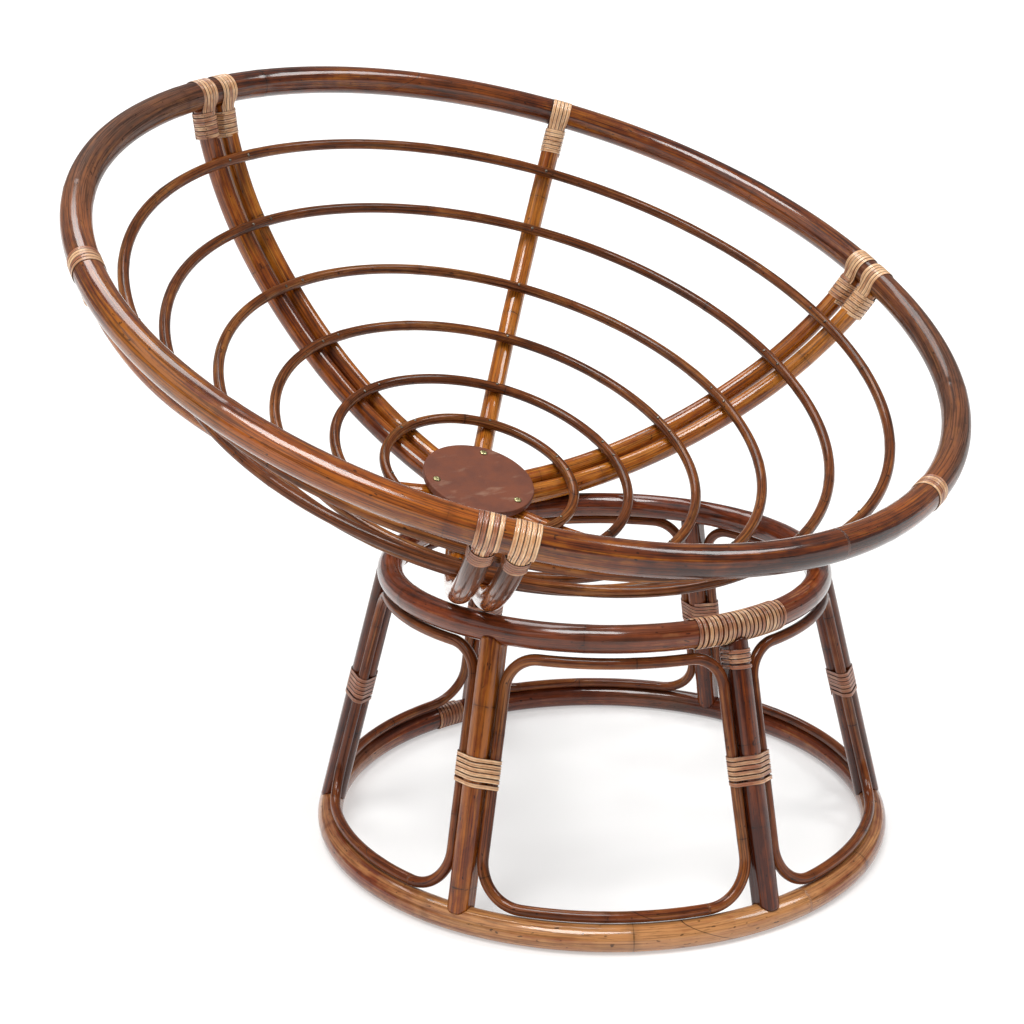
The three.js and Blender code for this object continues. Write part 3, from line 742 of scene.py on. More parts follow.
@dataclass(frozen=True)
class CaneFinish(Finish):
    """Split cane: pale and silky, with fine fibres, painted shade at its edges and in its groove, and patches
    that took the pole's stain.
    """

    pale: str = "f2c596"
    tan: str = "d0925e"
    stain: str = "8c3e16"
    coat: float = 0.6
    coat_rough: float = 0.1

    fibres = Grain(22, 1700)
    cords = Grain(9, 480, 4)
    mottle = Grain(140, 240, 2)
    patches = Grain(30, 50, 9)
    relief = Grain(120, 300, 6, 3)
    bumps = (0.0005, 0.0002)  # of the relief and the fibres
    stops = (0.38, 0.58)  # of the ramp from tan to pale
    shares = (0.6, 0.4)  # of the cords and the mottle
    tone_share = 0.3
    stain_range = (0.48, 0.8, 0.0, 0.85)  # in each range, where it starts and ends, and what it gives there
    line_range = (0.48, 0.66, 1.0, 0.66)
    # The next two ranges paint shade: darker at the strand's edges, where the gaps between strands are, and
    # in its groove.
    edge_shade_range = (0.66, 0.96, 1.0, 0.2)
    groove_shade_range = (0.0, 0.16, 0.5, 1.0)
    rough_range = (0.3, 0.7, 0.34, 0.5)

    def dress(self, tree: Tree) -> bpy.types.Material:
        """Lay out the cane's colour, darkened between fibres, with painted shade in its groove and at its
        edges.

        Args:
            tree: the material's nodes.

        Returns:
            The material.
        """
        fibre = tree.noise(self.fibres)
        blend = tree.blend(*zip((tree.noise(self.cords), tree.noise(self.mottle)), self.shares))
        wood = tree.ramp(blend, list(zip(self.stops, (self.tan, self.pale))))
        tone = tree.math("MULTIPLY", tree.value("tone"), self.tone_share)
        level = tree.math("ADD", tree.noise(self.patches), tone)
        wood = tree.mix(tree.range(level, *self.stain_range), wood, self.stain)
        lines = tree.range(fibre, *self.line_range)
        side = tree.math("ABSOLUTE", tree.value("seam"))
        # edge and groove are painted shade at the strand's edges and in its groove.
        edge, groove = tree.range(side, *self.edge_shade_range), tree.range(side, *self.groove_shade_range)
        return tree.surface(
            Base_Color=tree.shaded(wood, lines, edge, groove),
            Roughness=tree.range(fibre, *self.rough_range),
            Normal=tree.bump(lines, self.bumps[1], tree.bump(tree.noise(self.relief), self.bumps[0])),
            Coat_Weight=self.coat,
            Coat_Roughness=self.coat_rough,
        )


@dataclass(frozen=True)
class BoardFinish(Finish):
    """Matt stained board: a red-brown face with faint mottling, fine pores and a few pale rubs."""

    face: str = "70381e"
    deep: str = "602e18"
    rub: str = "94705a"

    mottle = Grain(45, 45, 0, 5)
    pores = Grain(900, 900, 3, 1)
    rubs = Grain(22, 60, 6, 4)
    pore_depth = 0.00012
    stops = (0.35, 0.62)  # of the ramp from deep to face
    rub_range = (0.56, 0.74, 0.0, 0.55)  # in each range, where it starts and ends, and what it gives there
    rough_range = (0.3, 0.7, 0.62, 0.74)

    def dress(self, tree: Tree) -> bpy.types.Material:
        """Lay out the face, paler where it is rubbed.

        Args:
            tree: the material's nodes.

        Returns:
            The material.
        """
        mottle = tree.noise(self.mottle)
        colour = tree.ramp(mottle, list(zip(self.stops, (self.deep, self.face))))
        colour = tree.mix(tree.range(tree.noise(self.rubs), *self.rub_range), colour, self.rub)
        rough = tree.range(mottle, *self.rough_range)
        normal = tree.bump(tree.noise(self.pores), self.pore_depth)
        return tree.surface(Base_Color=colour, Roughness=rough, Normal=normal)


@dataclass(frozen=True)
class MetalFinish(Finish):
    """A small worn metal head: one metal, with duller and darker patches."""

    bright: str
    dull: str
    rough: float = 0.34

    patches = Grain(420, 420, 0, 3)
    stops = (0.4, 0.6)  # of the ramp from dull to bright
    rough_ends = (0.35, 0.65)  # where the range starts and ends
    rough_steps = (0.16, -0.04)  # from the finish's own roughness, at the two ends
    dent = 0.00005

    def dress(self, tree: Tree) -> bpy.types.Material:
        """Lay out the metal and its patches.

        Args:
            tree: the material's nodes.

        Returns:
            The material.
        """
        patch = tree.noise(self.patches)
        rough = [self.rough + step for step in self.rough_steps]
        return tree.surface(
            Base_Color=tree.ramp(patch, list(zip(self.stops, (self.dull, self.bright)))),
            Roughness=tree.range(patch, *self.rough_ends, *rough),
            Metallic=1.0,
            Normal=tree.bump(patch, self.dent),
        )


@dataclass(frozen=True)
class FloorFinish(Finish):
    """A plain pale studio floor."""

    tone: str = "c4c4c3"
    rough: float = 0.9
    glow: float = 0.42

    def dress(self, tree: Tree) -> bpy.types.Material:
        """Lay out one even tone that glows a little."""
        glow = {"Emission_Color": "ffffff", "Emission_Strength": self.glow}
        return tree.surface(Base_Color=self.tone, Roughness=self.rough, **glow)


RIM_FINISH = PoleFinish(
    "rim_varnish", Slot.RIM, ("3a1608", "6c300e", "9a5818"), "b05c18", 0.7, 0.55,
    coat=1.0, coat_rough=0.11, evenness=0.11,
)
RIB_FINISH = PoleFinish(
    "rib_varnish", Slot.RIB, ("5a2409", "944a12", "b87024"), "b86c20", 0.6, 0.5,
    rough=0.3, coat=0.9, coat_rough=0.08,
)
RING_FINISH = PoleFinish(
    "slim_ring_stain", Slot.RING, ("40200e", "703a18", "a46c38"), "8c5020", 0.3, 0.62,
    rough=0.42, coat=0.4, evenness=0.2,
)
BASE_FINISH = PoleFinish(
    "base_varnish", Slot.BASE, ("36140a", "78361a", "b8804e"), "c69268", 0.7, 0.35, coat=0.9, evenness=0.19
)
LEG_FINISH = PoleFinish(
    "leg_varnish", Slot.LEG, ("431605", "702f09", "a45b16"), "b46a1c", 0.6, 0.35, coat=0.7
)
LOOP_FINISH = PoleFinish(
    "loop_stain", Slot.LOOP, ("3c1a0c", "6e3414", "9c6030"), "905426", 0.4, 0.55,
    rough=0.38, coat=0.5, evenness=0.18,
)
CANE_FINISH = CaneFinish("split_cane", Slot.CANE)
BOARD_FINISH = BoardFinish("hub_board_stain", Slot.BOARD)
SCREW_FINISH = MetalFinish("screw_brass", Slot.BRASS, "b9b487", "7a7350")
NAIL_FINISH = MetalFinish("nail_steel", Slot.BRASS, "8c8378", "4a423a", 0.42)
FLOOR_FINISH = FloorFinish("studio_floor", None)


@dataclass
class Piece:
    """One finished piece: its skin, its finish, its body and the CAD nodes that it stands for."""

    name: str
    skin: Skin
    finish: Finish
    body: Body
    nodes: tuple[str, ...]

    @property
    def slot(self) -> Slot:
        """Return the slot of the record that the finish stands for."""
        return self.finish.slot

    def place(self) -> None:
        """Make the piece's object at the origin, with its place in its mesh, and fix it to its body."""
        mesh = bpy.data.meshes.new(self.name)
        faces = [face for array in self.skin.faces for face in array.tolist()]
        mesh.from_pydata(self.skin.points.tolist(), [], faces)
        for name, value in self.skin.values.items():
            kind, key = ("FLOAT_VECTOR", "vector") if value.ndim == 2 else ("FLOAT", "value")
            attribute = mesh.attributes.new(name, kind, "POINT")
            attribute.data.foreach_set(key, value.astype(np.float32).ravel())
        mesh.polygons.foreach_set("use_smooth", np.ones(len(faces), dtype=bool))
        mesh.materials.append(self.finish.material())
        piece = bpy.data.objects.new(self.name, mesh)
        bpy.context.scene.collection.objects.link(piece)
        if self.nodes:
            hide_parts(*self.nodes)
        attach(piece, self.body.value)
        self.slot.value
        LOG.info("%s: %d points, %d faces", self.name, len(self.skin.points), len(faces))


class Shape:
    """What a body's pieces share: their sizes, and where the body stands."""

    body: Body

    def in_place(self, points: Array) -> Array:
        """Return points of the body's own frame where they stand in the chair."""
        raise NotImplementedError

    def piece(self, name: str, skin: Skin, finish: Finish, *nodes: str) -> Piece:
        """Return a finished piece of this body, set in place."""
        return Piece(name, skin.moved(self.in_place), finish, self.body, nodes)


@dataclass(frozen=True)
class BaseShape(Shape):
    """The sizes that the base's pieces share."""

    bottom_diameter: float = 0.697
    top_diameter: float = 0.531
    height: float = 0.3355
    pole: float = 0.031
    facets: int = 10  # of the solid ring's section, which has a flat below
    first_leg: float = math.radians(-9)
    legs: int = 6
    leg_pole: float = 0.030
    leg_thickness: float = 0.025
    leg_horn: float = 0.008
    loop_pole: float = 0.013
    gap: float = 0.0003
    splice_reach: float = 0.0182
    top_splice: float = math.radians(-7.4)  # the bearing of its middle
    bottom_splice: float = math.radians(178.4)

    body = Body.BASE

    @property
    def flat(self) -> float:
        """Return how far the flat of a ring's section lies below its middle."""
        return self.pole / 2 * math.cos(math.pi / self.facets)

    @property
    def bottom(self) -> tuple[float, float]:
        """Return the bottom ring's radius and height."""
        return (self.bottom_diameter - self.pole) / 2, self.flat

    @property
    def top(self) -> tuple[float, float]:
        """Return the top ring's radius and height."""
        return (self.top_diameter - self.pole) / 2, self.height - self.flat

    @property
    def slant(self) -> float:
        """Return the length of the line up the cone between the two rings."""
        return math.hypot(self.bottom[0] - self.top[0], self.top[1] - self.bottom[1])

    @property
    def lean(self) -> float:
        """Return the angle that the cone's sides lean inwards."""
        return math.atan2(self.bottom[0] - self.top[0], self.top[1] - self.bottom[1])

    @property
    def loop_offset(self) -> float:
        """Return how far beside a leg's middle a loop's side runs."""
        return self.leg_thickness / 2 + self.gap + self.loop_pole / 2

    def leg_bearing(self, index: float) -> float:
        """Return a leg's bearing, or between two numbers the bearing between two legs."""
        return self.first_leg + index * FULL_TURN / self.legs

    def cone_radius(self, up: Array) -> Array:
        """Return the cone's radius at a distance up its side."""
        return self.bottom[0] - math.sin(self.lean) * up

    def cone_point(self, up: Array | float, bearing: Array | float) -> Array:
        """Return points of the cone at distances up its side and bearings round it."""
        up = np.asarray(up)[..., None]
        return self.cone_radius(up) * towards(bearing) + (self.bottom[1] + math.cos(self.lean) * up) * UP

    def cone_normal(self, bearing: Array | float) -> Array:
        """Return the cone's outward directions at bearings."""
        return math.cos(self.lean) * towards(bearing) + math.sin(self.lean) * UP

    def leg_frames(self, index: int) -> Frames:
        """Set frames along a leg's middle, with the place measured up from the bottom ring's middle.

        Args:
            index: the leg's number from zero.

        Returns:
            The frames.
        """
        bearing = self.leg_bearing(index)
        across = np.array([math.cos(bearing), math.sin(bearing), 0.0])
        return straight_frames(self.cone_point(0.0, bearing), across, self.cone_normal(bearing))

    def in_place(self, points: Array) -> Array:
        """Return points of the base's frame where they stand on the floor."""
        return points + np.array([0.0, BOWL.middle, 0.0])


BASE = BaseShape()


@dataclass(frozen=True)
class RibPlace:
    """Where a rib stands: its turn about the bowl's axis, its start and how far aside its ends lie."""

    name: str
    turn: float
    start: float
    hub_aside: float
    rim_aside: float

    def aside(self, share: Array | float) -> Array | float:
        """Return how far aside the rib lies at a share of its way from the hub to the rim."""
        return self.hub_aside + (self.rim_aside - self.hub_aside) * share


@dataclass(frozen=True)
class BowlShape(Shape):
    """The sizes that the bowl's pieces share, and where the bowl stands."""

    rim_diameter: float = 1.067
    rim_pole: float = 0.035
    rib_pole: float = 0.026
    ring_pole: float = 0.014
    depth: float = 0.3228
    rim_inset: float = 0.0128
    tilt: float = math.radians(23.5)
    ease_share: float = 0.677
    single_start: float = 0.018
    pair_start: float = 0.038
    hub_spacing: float = 0.0274
    rim_spacing: float = 0.035
    seat_gap: float = 0.0005
    places: tuple[tuple[str, float, bool], ...] = (
        ("back", 197.5, True),
        ("back_right", 138.8, False),
        ("right", 81, True),
        ("front_right", 20.6, False),
        ("front_left", 319.5, True),
        ("left", 256, False),
    )

    body = Body.BOWL

    @property
    def rim_radius(self) -> float:
        """Return the radius of the rim's centreline."""
        return (self.rim_diameter - self.rim_pole) / 2

    @property
    def rim_drop(self) -> float:
        """Return how far the rim lies below the ball's middle."""
        depth = self.depth - self.rim_pole / 2 - self.rim_inset
        return (self.rim_radius**2 - depth**2) / (2 * depth)

    @property
    def ball_radius(self) -> float:
        """Return the radius of the ball that the ribs' outer faces lie on."""
        return self.rim_drop + self.depth

    @property
    def level(self) -> float:
        """Return how far the ribs' centrelines lie from the ball's middle before they ease in."""
        return self.ball_radius - self.rib_pole / 2

    @property
    def rim_angle(self) -> float:
        """Return the rim's angle from the bowl's axis."""
        return math.atan2(self.rim_radius, self.rim_drop)

    @property
    def middle(self) -> float:
        """Return the Y of the ball's middle and of the base's axis, with the tilted rim's middle at zero."""
        return -self.rim_drop * math.sin(self.tilt)

    @property
    def stand(self) -> Array:
        """Work out where the ball's middle is when the ball rests in the base's top ring.

        Returns:
            Its X, Y and Z.
        """
        radius, height = BASE.top
        distance = self.ball_radius + self.seat_gap + BASE.pole / 2
        return np.array([0.0, self.middle, height + math.sqrt(distance**2 - radius**2)])

    def rib_distance(self, angle: Array) -> Array:
        """Work out how far a rib's centreline lies from the ball's middle: level, then easing in to the rim.

        Args:
            angle: angles from the bowl's axis.

        Returns:
            The distances.
        """
        ease = self.ease_share * self.rim_angle
        share = np.maximum(0.0, (angle - ease) / (self.rim_angle - ease))
        return self.level + (math.hypot(self.rim_radius, self.rim_drop) - self.level) * share**2

    def ribs(self) -> list[RibPlace]:
        """Place the single ribs and both ribs of each pair.

        Returns:
            Their places, in order.
        """
        ribs = []
        for name, bearing, pair in self.places:
            turn = math.radians(bearing) - math.pi / 2
            if not pair:
                ribs.append(RibPlace(name, turn, self.single_start, 0.0, 0.0))
                continue
            for mark, side in (("_a", -0.5), ("_b", 0.5)):
                asides = side * self.hub_spacing, side * self.rim_spacing
                ribs.append(RibPlace(name + mark, turn, self.pair_start, *asides))
        return ribs

    def start_angle(self, rib: RibPlace) -> float:
        """Return the angle from the bowl's axis at which a rib starts."""
        return math.asin(rib.start / self.level)

    def rib_points(self, rib: RibPlace, count: int) -> Array:
        """Work out a rib's centreline in its own upright plane. At each angle from the bowl's axis the point
        is at the rib's distance from the ball's middle and a little aside, with the rest of it in the plane.

        Args:
            rib: the rib's place.
            count: how many points.

        Returns:
            Rows of X away from the bowl's axis, Y across the pair and Z up.
        """
        share = np.linspace(0, 1, count)
        start = self.start_angle(rib)
        angle = start + (self.rim_angle - start) * share
        aside = rib.aside(share)
        reach = np.sqrt(self.rib_distance(angle) ** 2 - aside**2)
        return np.stack([reach * np.sin(angle), aside, -reach * np.cos(angle)], axis=1)

    def in_place(self, points: Array) -> Array:
        """Return points of the bowl's frame, tilted and set over the base."""
        cosine, sine = math.cos(self.tilt), math.sin(self.tilt)
        return points @ np.array([[1.0, 0.0, 0.0], [0.0, cosine, sine], [0.0, -sine, cosine]]) + self.stand


BOWL = BowlShape()


def tone_round(bearing: Array, stops: Sequence[tuple[float, float]]) -> Array:
    """Return the tones at bearings in radians, by straight steps between stops of (degrees, tone)."""
    places, tones = zip(*stops)
    return np.interp(np.degrees(bearing) % 360, places, tones, period=360)


def knots_along(length: float, apart: float, seed: int) -> tuple[float, ...]:
    """Place a pole's joints of growth about evenly apart, each moved by a seeded random share.

    Args:
        length: the pole's length.
        apart: how far apart they are on the whole.
        seed: the seed of the moves.

    Returns:
        Their distances along the pole.
    """
    count = max(1, round(length / apart))
    moves = np.random.default_rng(seed).uniform(-KNOT_MOVE, KNOT_MOVE, count)
    return tuple((np.arange(count) + 0.5 + moves) * length / count)


def pole_section(pole: float, sides: int) -> Array:
    """Return a round pole's section, which lies a little inside the solid's pole."""
    return (pole / 2 - SKIN_GAP) * circle(sides)


@dataclass
class Poles:
    """Poles of one kind: how many sections each has, and what its knots and its grain start from."""

    rows: int = 220
    knots_apart: float = 0.24
    seed: int = 0
    start: float = 0.0
    start_step: float = 0.0
    seam_slope: float = 2.2
    swell: float = 0.012

    def pole(
        self,
        index: int,
        path: Path,
        section: Array,
        tone: float = 0.0,
        seam: float = Marks.seam,
        trims: tuple[Array | float, Array | float] = (0.0, 0.0),
    ) -> Skin:
        """Carry a section along a pole's path, with the pole's own joints of growth, seam, tone and grain.

        Args:
            index: the pole's number from zero.
            path: the line to follow.
            section: rows of (outwards, across).
            tone: the pole's tone.
            seam: how far along the path its seam is.
            trims: how much shorter each column is at the start and at the end.

        Returns:
            The pole's skin.
        """
        knots = knots_along(path.length, self.knots_apart, self.seed + index)
        marks = Marks(knots, seam, self.seam_slope, tone, self.start + index * self.start_step)
        return sweep(path, section, self.rows, marks, trims, self.swell)


@dataclass
class Rim(Poles):
    """The rim: one thick pole bent into a ring."""

    radius: float = 0.0173
    sides: int = 40
    rows: int = 900
    knots_apart: float = 0.29
    seed: int = 11
    seam_share: float = 0.461
    start: float = 0.3
    tones: tuple[tuple[float, float], ...] = (
        (5, -0.3), (25, -0.1), (45, 0.1), (65, 0.0), (100, -0.2), (125, -0.1), (150, -0.3), (165, -0.5),
        (180, -0.1), (205, 0.0), (225, 0.1), (240, -0.1), (256, 0.1), (270, 0.5), (300, 0.5), (312, 0.4),
        (325, 0.1), (350, -0.4),
    )
    worn: tuple[tuple[float, float], ...] = (
        (12, 0.0), (30, 0.6), (60, 0.6), (84, 0.2), (100, 0.0), (190, 0.0), (206, 0.7), (240, 0.7),
        (252, 0.2), (262, 0.0),
    )

    def build(self) -> list[Piece]:
        """Carry a circle round the rim's centreline, a circle about the bowl's axis.

        Returns:
            The rim's piece.
        """
        path = ring_path(BOWL.rim_radius, -BOWL.rim_drop, 2 * self.rows)
        skin = self.pole(0, path, self.radius * circle(self.sides), seam=self.seam_share * path.length)
        bearing = bearing_of(skin.points)
        skin.values["tone"] = tone_round(bearing, self.tones)
        skin.values["worn"] = tone_round(bearing, self.worn)
        return [BOWL.piece("rim_pole", skin, RIM_FINISH, "rim")]


@dataclass
class Ribs(Poles):
    """The nine ribs under the bowl, coped to the rim."""

    cope: float = 0.0177
    sides: int = 32
    rows: int = 220
    knots_apart: float = 0.24
    seed: int = 30
    start_step: float = 1.7
    tones: tuple[float, ...] = (0.1, -0.5, 0.6, 0.7, 0.3, 0.2, 0.1, 0.0, 0.3)
    dark_ends: tuple[str, ...] = ("front_left_a", "front_left_b")
    dark_shares: tuple[float, float] = (0.74, 0.90)
    dark_tone: float = -1.5
    dark_wear: float = 0.6

    def build(self) -> list[Piece]:
        """Carry a circle along each rib's centreline. Each column ends where it meets the rim: at the root of
        the cope's radius squared less the column's height squared.

        Returns:
            The ribs' pieces.
        """
        section = pole_section(BOWL.rib_pole, self.sides)
        trims = 0.0, np.sqrt(self.cope**2 - section[:, 0] ** 2)
        pieces = []
        for index, rib in enumerate(BOWL.ribs()):
            points = BOWL.rib_points(rib, 2 * self.rows)
            path = Path(points, unit(points))
            skin = self.pole(index, path, section, self.tones[index], trims=trims)
            if rib.name in self.dark_ends:
                along = skin.values["grain"][:, 0]
                dull = np.interp((along - along[0]) / path.length, self.dark_shares, (0, 1))
                skin.values["tone"] += self.dark_tone * dull
                skin.values["worn"] = self.dark_wear * dull
            skin = skin.turned(rib.turn)
            pieces.append(BOWL.piece(f"rib_pole_{rib.name}", skin, RIB_FINISH, f"rib_{rib.name}"))
        return pieces


@dataclass
class SlimRings(Poles):
    """The six slim rings nailed inside the ribs."""

    shares: tuple[float, ...] = (0.863, 0.728, 0.586, 0.449, 0.311, 0.2)
    seam_shares: tuple[float, ...] = (0.62, 0.1, 0.66, 0.93, 0.7, 0.16)
    seam_slope: float = 3.0
    wander: float = 0.0022
    waves: tuple[int, ...] = (2, 3, 5)
    wave_seed: int = 520
    sides: int = 20
    rows: int = 360
    knots_apart: float = 0.21
    seed: int = 50
    tones: tuple[float, ...] = (0.1, -0.2, 0.2)
    start: float = 20.0
    start_step: float = 2.3
    swell: float = 0.035

    def distance(self, angle: Array) -> Array:
        """Return how far a ring's centreline lies from the ball's middle, so that it lies on the ribs."""
        return BOWL.rib_distance(angle) - (BOWL.rib_pole + BOWL.ring_pole) / 2

    def build(self) -> list[Piece]:
        """Carry a circle round each ring's centreline, a circle about the bowl's axis whose angle from the
        axis wanders a little as a sum of sines.

        Returns:
            The rings' pieces.
        """
        section = pole_section(BOWL.ring_pole, self.sides)
        turn = np.linspace(0, FULL_TURN, 2 * self.rows, endpoint=False)
        level = towards(turn)
        pieces = []
        for index, share in enumerate(self.shares):
            phases = np.random.default_rng(self.wave_seed + index).uniform(0, FULL_TURN, len(self.waves))
            wander = sum(np.sin(wave * turn + phase) / wave for wave, phase in zip(self.waves, phases))
            angle = (share * BOWL.rim_angle + self.wander * wander)[:, None]
            points = self.distance(angle) * (np.sin(angle) * level - np.cos(angle) * UP)
            path = Path(points, level, closed=True)
            tone, seam = self.tones[index % len(self.tones)], self.seam_shares[index] * path.length
            skin = self.pole(index, path, section, tone, seam)
            pieces.append(BOWL.piece(f"slim_pole_{index + 1}", skin, RING_FINISH, f"slim_ring_{index + 1}"))
        return pieces


class Turns(Enum):
    """The turns round a rib below its strands: how many, their pitch, how far down they start, and their tone
    where it isn't the strands'."""

    PLAIN = (6, 0.0053, 0.0225, None)
    # On the front-left ribs, under the rim: a browner tone, partly the cane's own stain and partly painted
    # shade.
    SLIM = (5, 0.0037, 0.0238, 0.9)
    SHORT = (4, 0.0045, 0.0225, 0.2)


@dataclass
class RibLashings:
    """The cane over the rim at each rib's end: strands side by side over the rim, held by turns round the
    rib. Each rib has its strands' tone and its turns."""

    lane_width: float = 0.0049
    lane_gap: float = 0.0003
    turn_gap: float = 0.0002
    thickness: float = 0.0009
    lanes: int = 5
    down: float = 0.040
    foot: float = 0.0185
    draw_in: float = 0.92  # of a strand's place on the rim, where it lies on the rib
    half_face: float = math.radians(50)  # of the rib, that the strands cover
    end_rows: int = 400
    end_step: int = 11  # of the rows, over which the end's direction is read
    leg_rows: int = 24
    straight_rows: int = 10
    arc_rows: int = 40
    corner_reach: int = 2
    turn_steps: int = 44
    turn_stray: float = 0.0003
    turn_angle: float = 6.0  # at most, where the turns start
    seed: int = 200
    lane_stray: float = 0.0002
    end_stray: float = 0.004
    tone_spread: float = 0.5
    turns_tone: float = 0.15  # over the strands'
    lane_start: tuple[float, float, float] = (60, 3, 0.31)  # and more for each rib and for each strand
    turns_start: tuple[float, float] = (90, 2.1)  # and more for each rib
    styles: tuple[tuple[float, Turns], ...] = (
        (0.0, Turns.PLAIN), (0.5, Turns.PLAIN), (-0.5, Turns.PLAIN), (-0.1, Turns.PLAIN), (0.2, Turns.PLAIN),
        (0.3, Turns.PLAIN), (0.5, Turns.SLIM), (-0.2, Turns.SLIM), (0.3, Turns.SHORT),
    )

    def end_frame(self, rib: RibPlace) -> tuple[Array, Array, Array, Array]:
        """Work out the frame of a rib's end.

        Args:
            rib: the rib's place.

        Returns:
            The rib's end on the rim's centreline, and its directions across, out and along.
        """
        points = BOWL.rib_points(rib, self.end_rows)
        along = unit(points[-1] - points[-1 - self.end_step])
        across = unit(np.array([0.0, 1.0, 0.0]) - along * along[1])
        return points[-1], across, np.cross(across, along), along

    def lane(self, rib: RibPlace, offset: float, ends: Array, marks: Marks) -> Skin:
        """Lay one strand over the rim. In the plane of the rib it runs up the rib's inner face, straight to
        where it touches the rim, round the rim as an arc, and down the rib's outer face. The corners are then
        smoothed.

        Args:
            rib: the rib's place.
            offset: how far aside the strand lies on the rim.
            ends: how far down the rib its two ends are.
            marks: the strand's tone and grain.

        Returns:
            The strand's skin.
        """
        origin, *frame = self.end_frame(rib)
        on_rib, on_rim = BOWL.rib_pole / 2 + CANE_GAP, BOWL.rim_pole / 2 - SKIN_GAP
        turn = offset * self.draw_in / on_rib
        aside, height = on_rib * math.sin(turn), on_rib * math.cos(turn)
        meet = math.atan2(height, -self.foot) - math.acos(on_rim / math.hypot(self.foot, height))
        arc = np.linspace(-meet, meet, self.arc_rows)
        over_normal = np.stack([0 * arc, np.sin(arc), np.cos(arc)], axis=1)
        over = on_rim * over_normal + np.array([offset, 0.0, 0.0])
        share = np.linspace(0, 1, self.straight_rows)[1:-1, None]
        lines, normals = [], []
        for side, end, touch in ((-1, ends[0], 0), (1, ends[1], -1)):
            run = np.linspace(end, self.foot, self.leg_rows)
            leg = np.stack([0 * run + aside, 0 * run + side * height, -run], axis=1)
            lean = np.array([[math.sin(turn), side * math.cos(turn), 0.0]])
            lines.append(np.concatenate([leg, leg[-1] + share * (over[touch] - leg[-1])]))
            straight = lean * (1 - share) + over_normal[touch] * share
            normals.append(np.concatenate([np.repeat(lean, len(run), 0), straight]))
        line, normal = (
            smoothed(np.concatenate([parts[0], middle, parts[1][::-1]]), self.corner_reach)
            for parts, middle in ((lines, over), (normals, over_normal))
        )
        return cane_strand(origin + line @ frame, normal @ frame, self.lane_width, self.thickness, marks)

    def wraps(self, rib: RibPlace, turns: Turns, tone: float, start: float, rng: np.random.Generator) -> Skin:
        """Wind the turns round the rib, over the strands' ends. The outline is the rib's circle, and over the
        strands on its two faces a circle that is thicker by a strand.

        Args:
            rib: the rib's place.
            turns: how many turns, and where.
            tone: the tone of turns that have none of their own.
            start: where the strand's grain starts.
            rng: the random numbers for the turns' unevenness.

        Returns:
            The strand's skin.
        """
        bare = BOWL.rib_pole / 2 + self.lane_gap
        over = bare + self.thickness + SKIN_GAP

        def reach(angle: Array) -> Array:
            """Return the outline's reach, from across towards out."""
            past = np.maximum(0.0, np.abs(np.abs(np.mod(angle, math.pi) - math.pi / 2)) - self.half_face)
            return np.maximum(bare, over * np.cos(past))

        count, pitch, first, own_tone = turns.value
        width, uneven = pitch - self.turn_gap, self.turn_stray
        winding = Winding(count, pitch, width, self.thickness, self.turn_steps, uneven)
        turn, stray = winding.turn(rng)
        frames = straight_frames(*self.end_frame(rib)[:3])
        angles = FULL_TURN * turn + rng.uniform(0, self.turn_angle)
        marks = Marks(tone=tone if own_tone is None else own_tone, start=start)
        return winding.wound(frames, reach, stray - first - pitch * turn, angles, marks)

    def build(self) -> list[Piece]:
        """Lay the strands and the turns of each lashing.

        Returns:
            The lashings' pieces.
        """
        pieces = []
        spread = (np.arange(self.lanes) - (self.lanes - 1) / 2) * (self.lane_width + self.lane_gap)
        for index, (rib, (tone, turns)) in enumerate(zip(BOWL.ribs(), self.styles)):
            rng = np.random.default_rng(self.seed + index)
            skins = []
            strays = rng.uniform(-self.lane_stray, self.lane_stray, self.lanes)
            for lane, offset in enumerate(spread + strays):
                ends = self.down + rng.uniform(-self.end_stray, self.end_stray, 2)
                lane_tone = tone + rng.uniform(-self.tone_spread, self.tone_spread)
                start = float(np.dot(self.lane_start, (1, index, lane)))
                skins.append(self.lane(rib, offset, ends, Marks(tone=lane_tone, start=start)))
            start = float(np.dot(self.turns_start, (1, index)))
            skins.append(self.wraps(rib, turns, tone + self.turns_tone, start, rng))
            skin = Skin.joined(skins).turned(rib.turn)
            pieces.append(BOWL.piece(f"cane_{rib.name}", skin, CANE_FINISH, f"lashing_{rib.name}"))
        return pieces


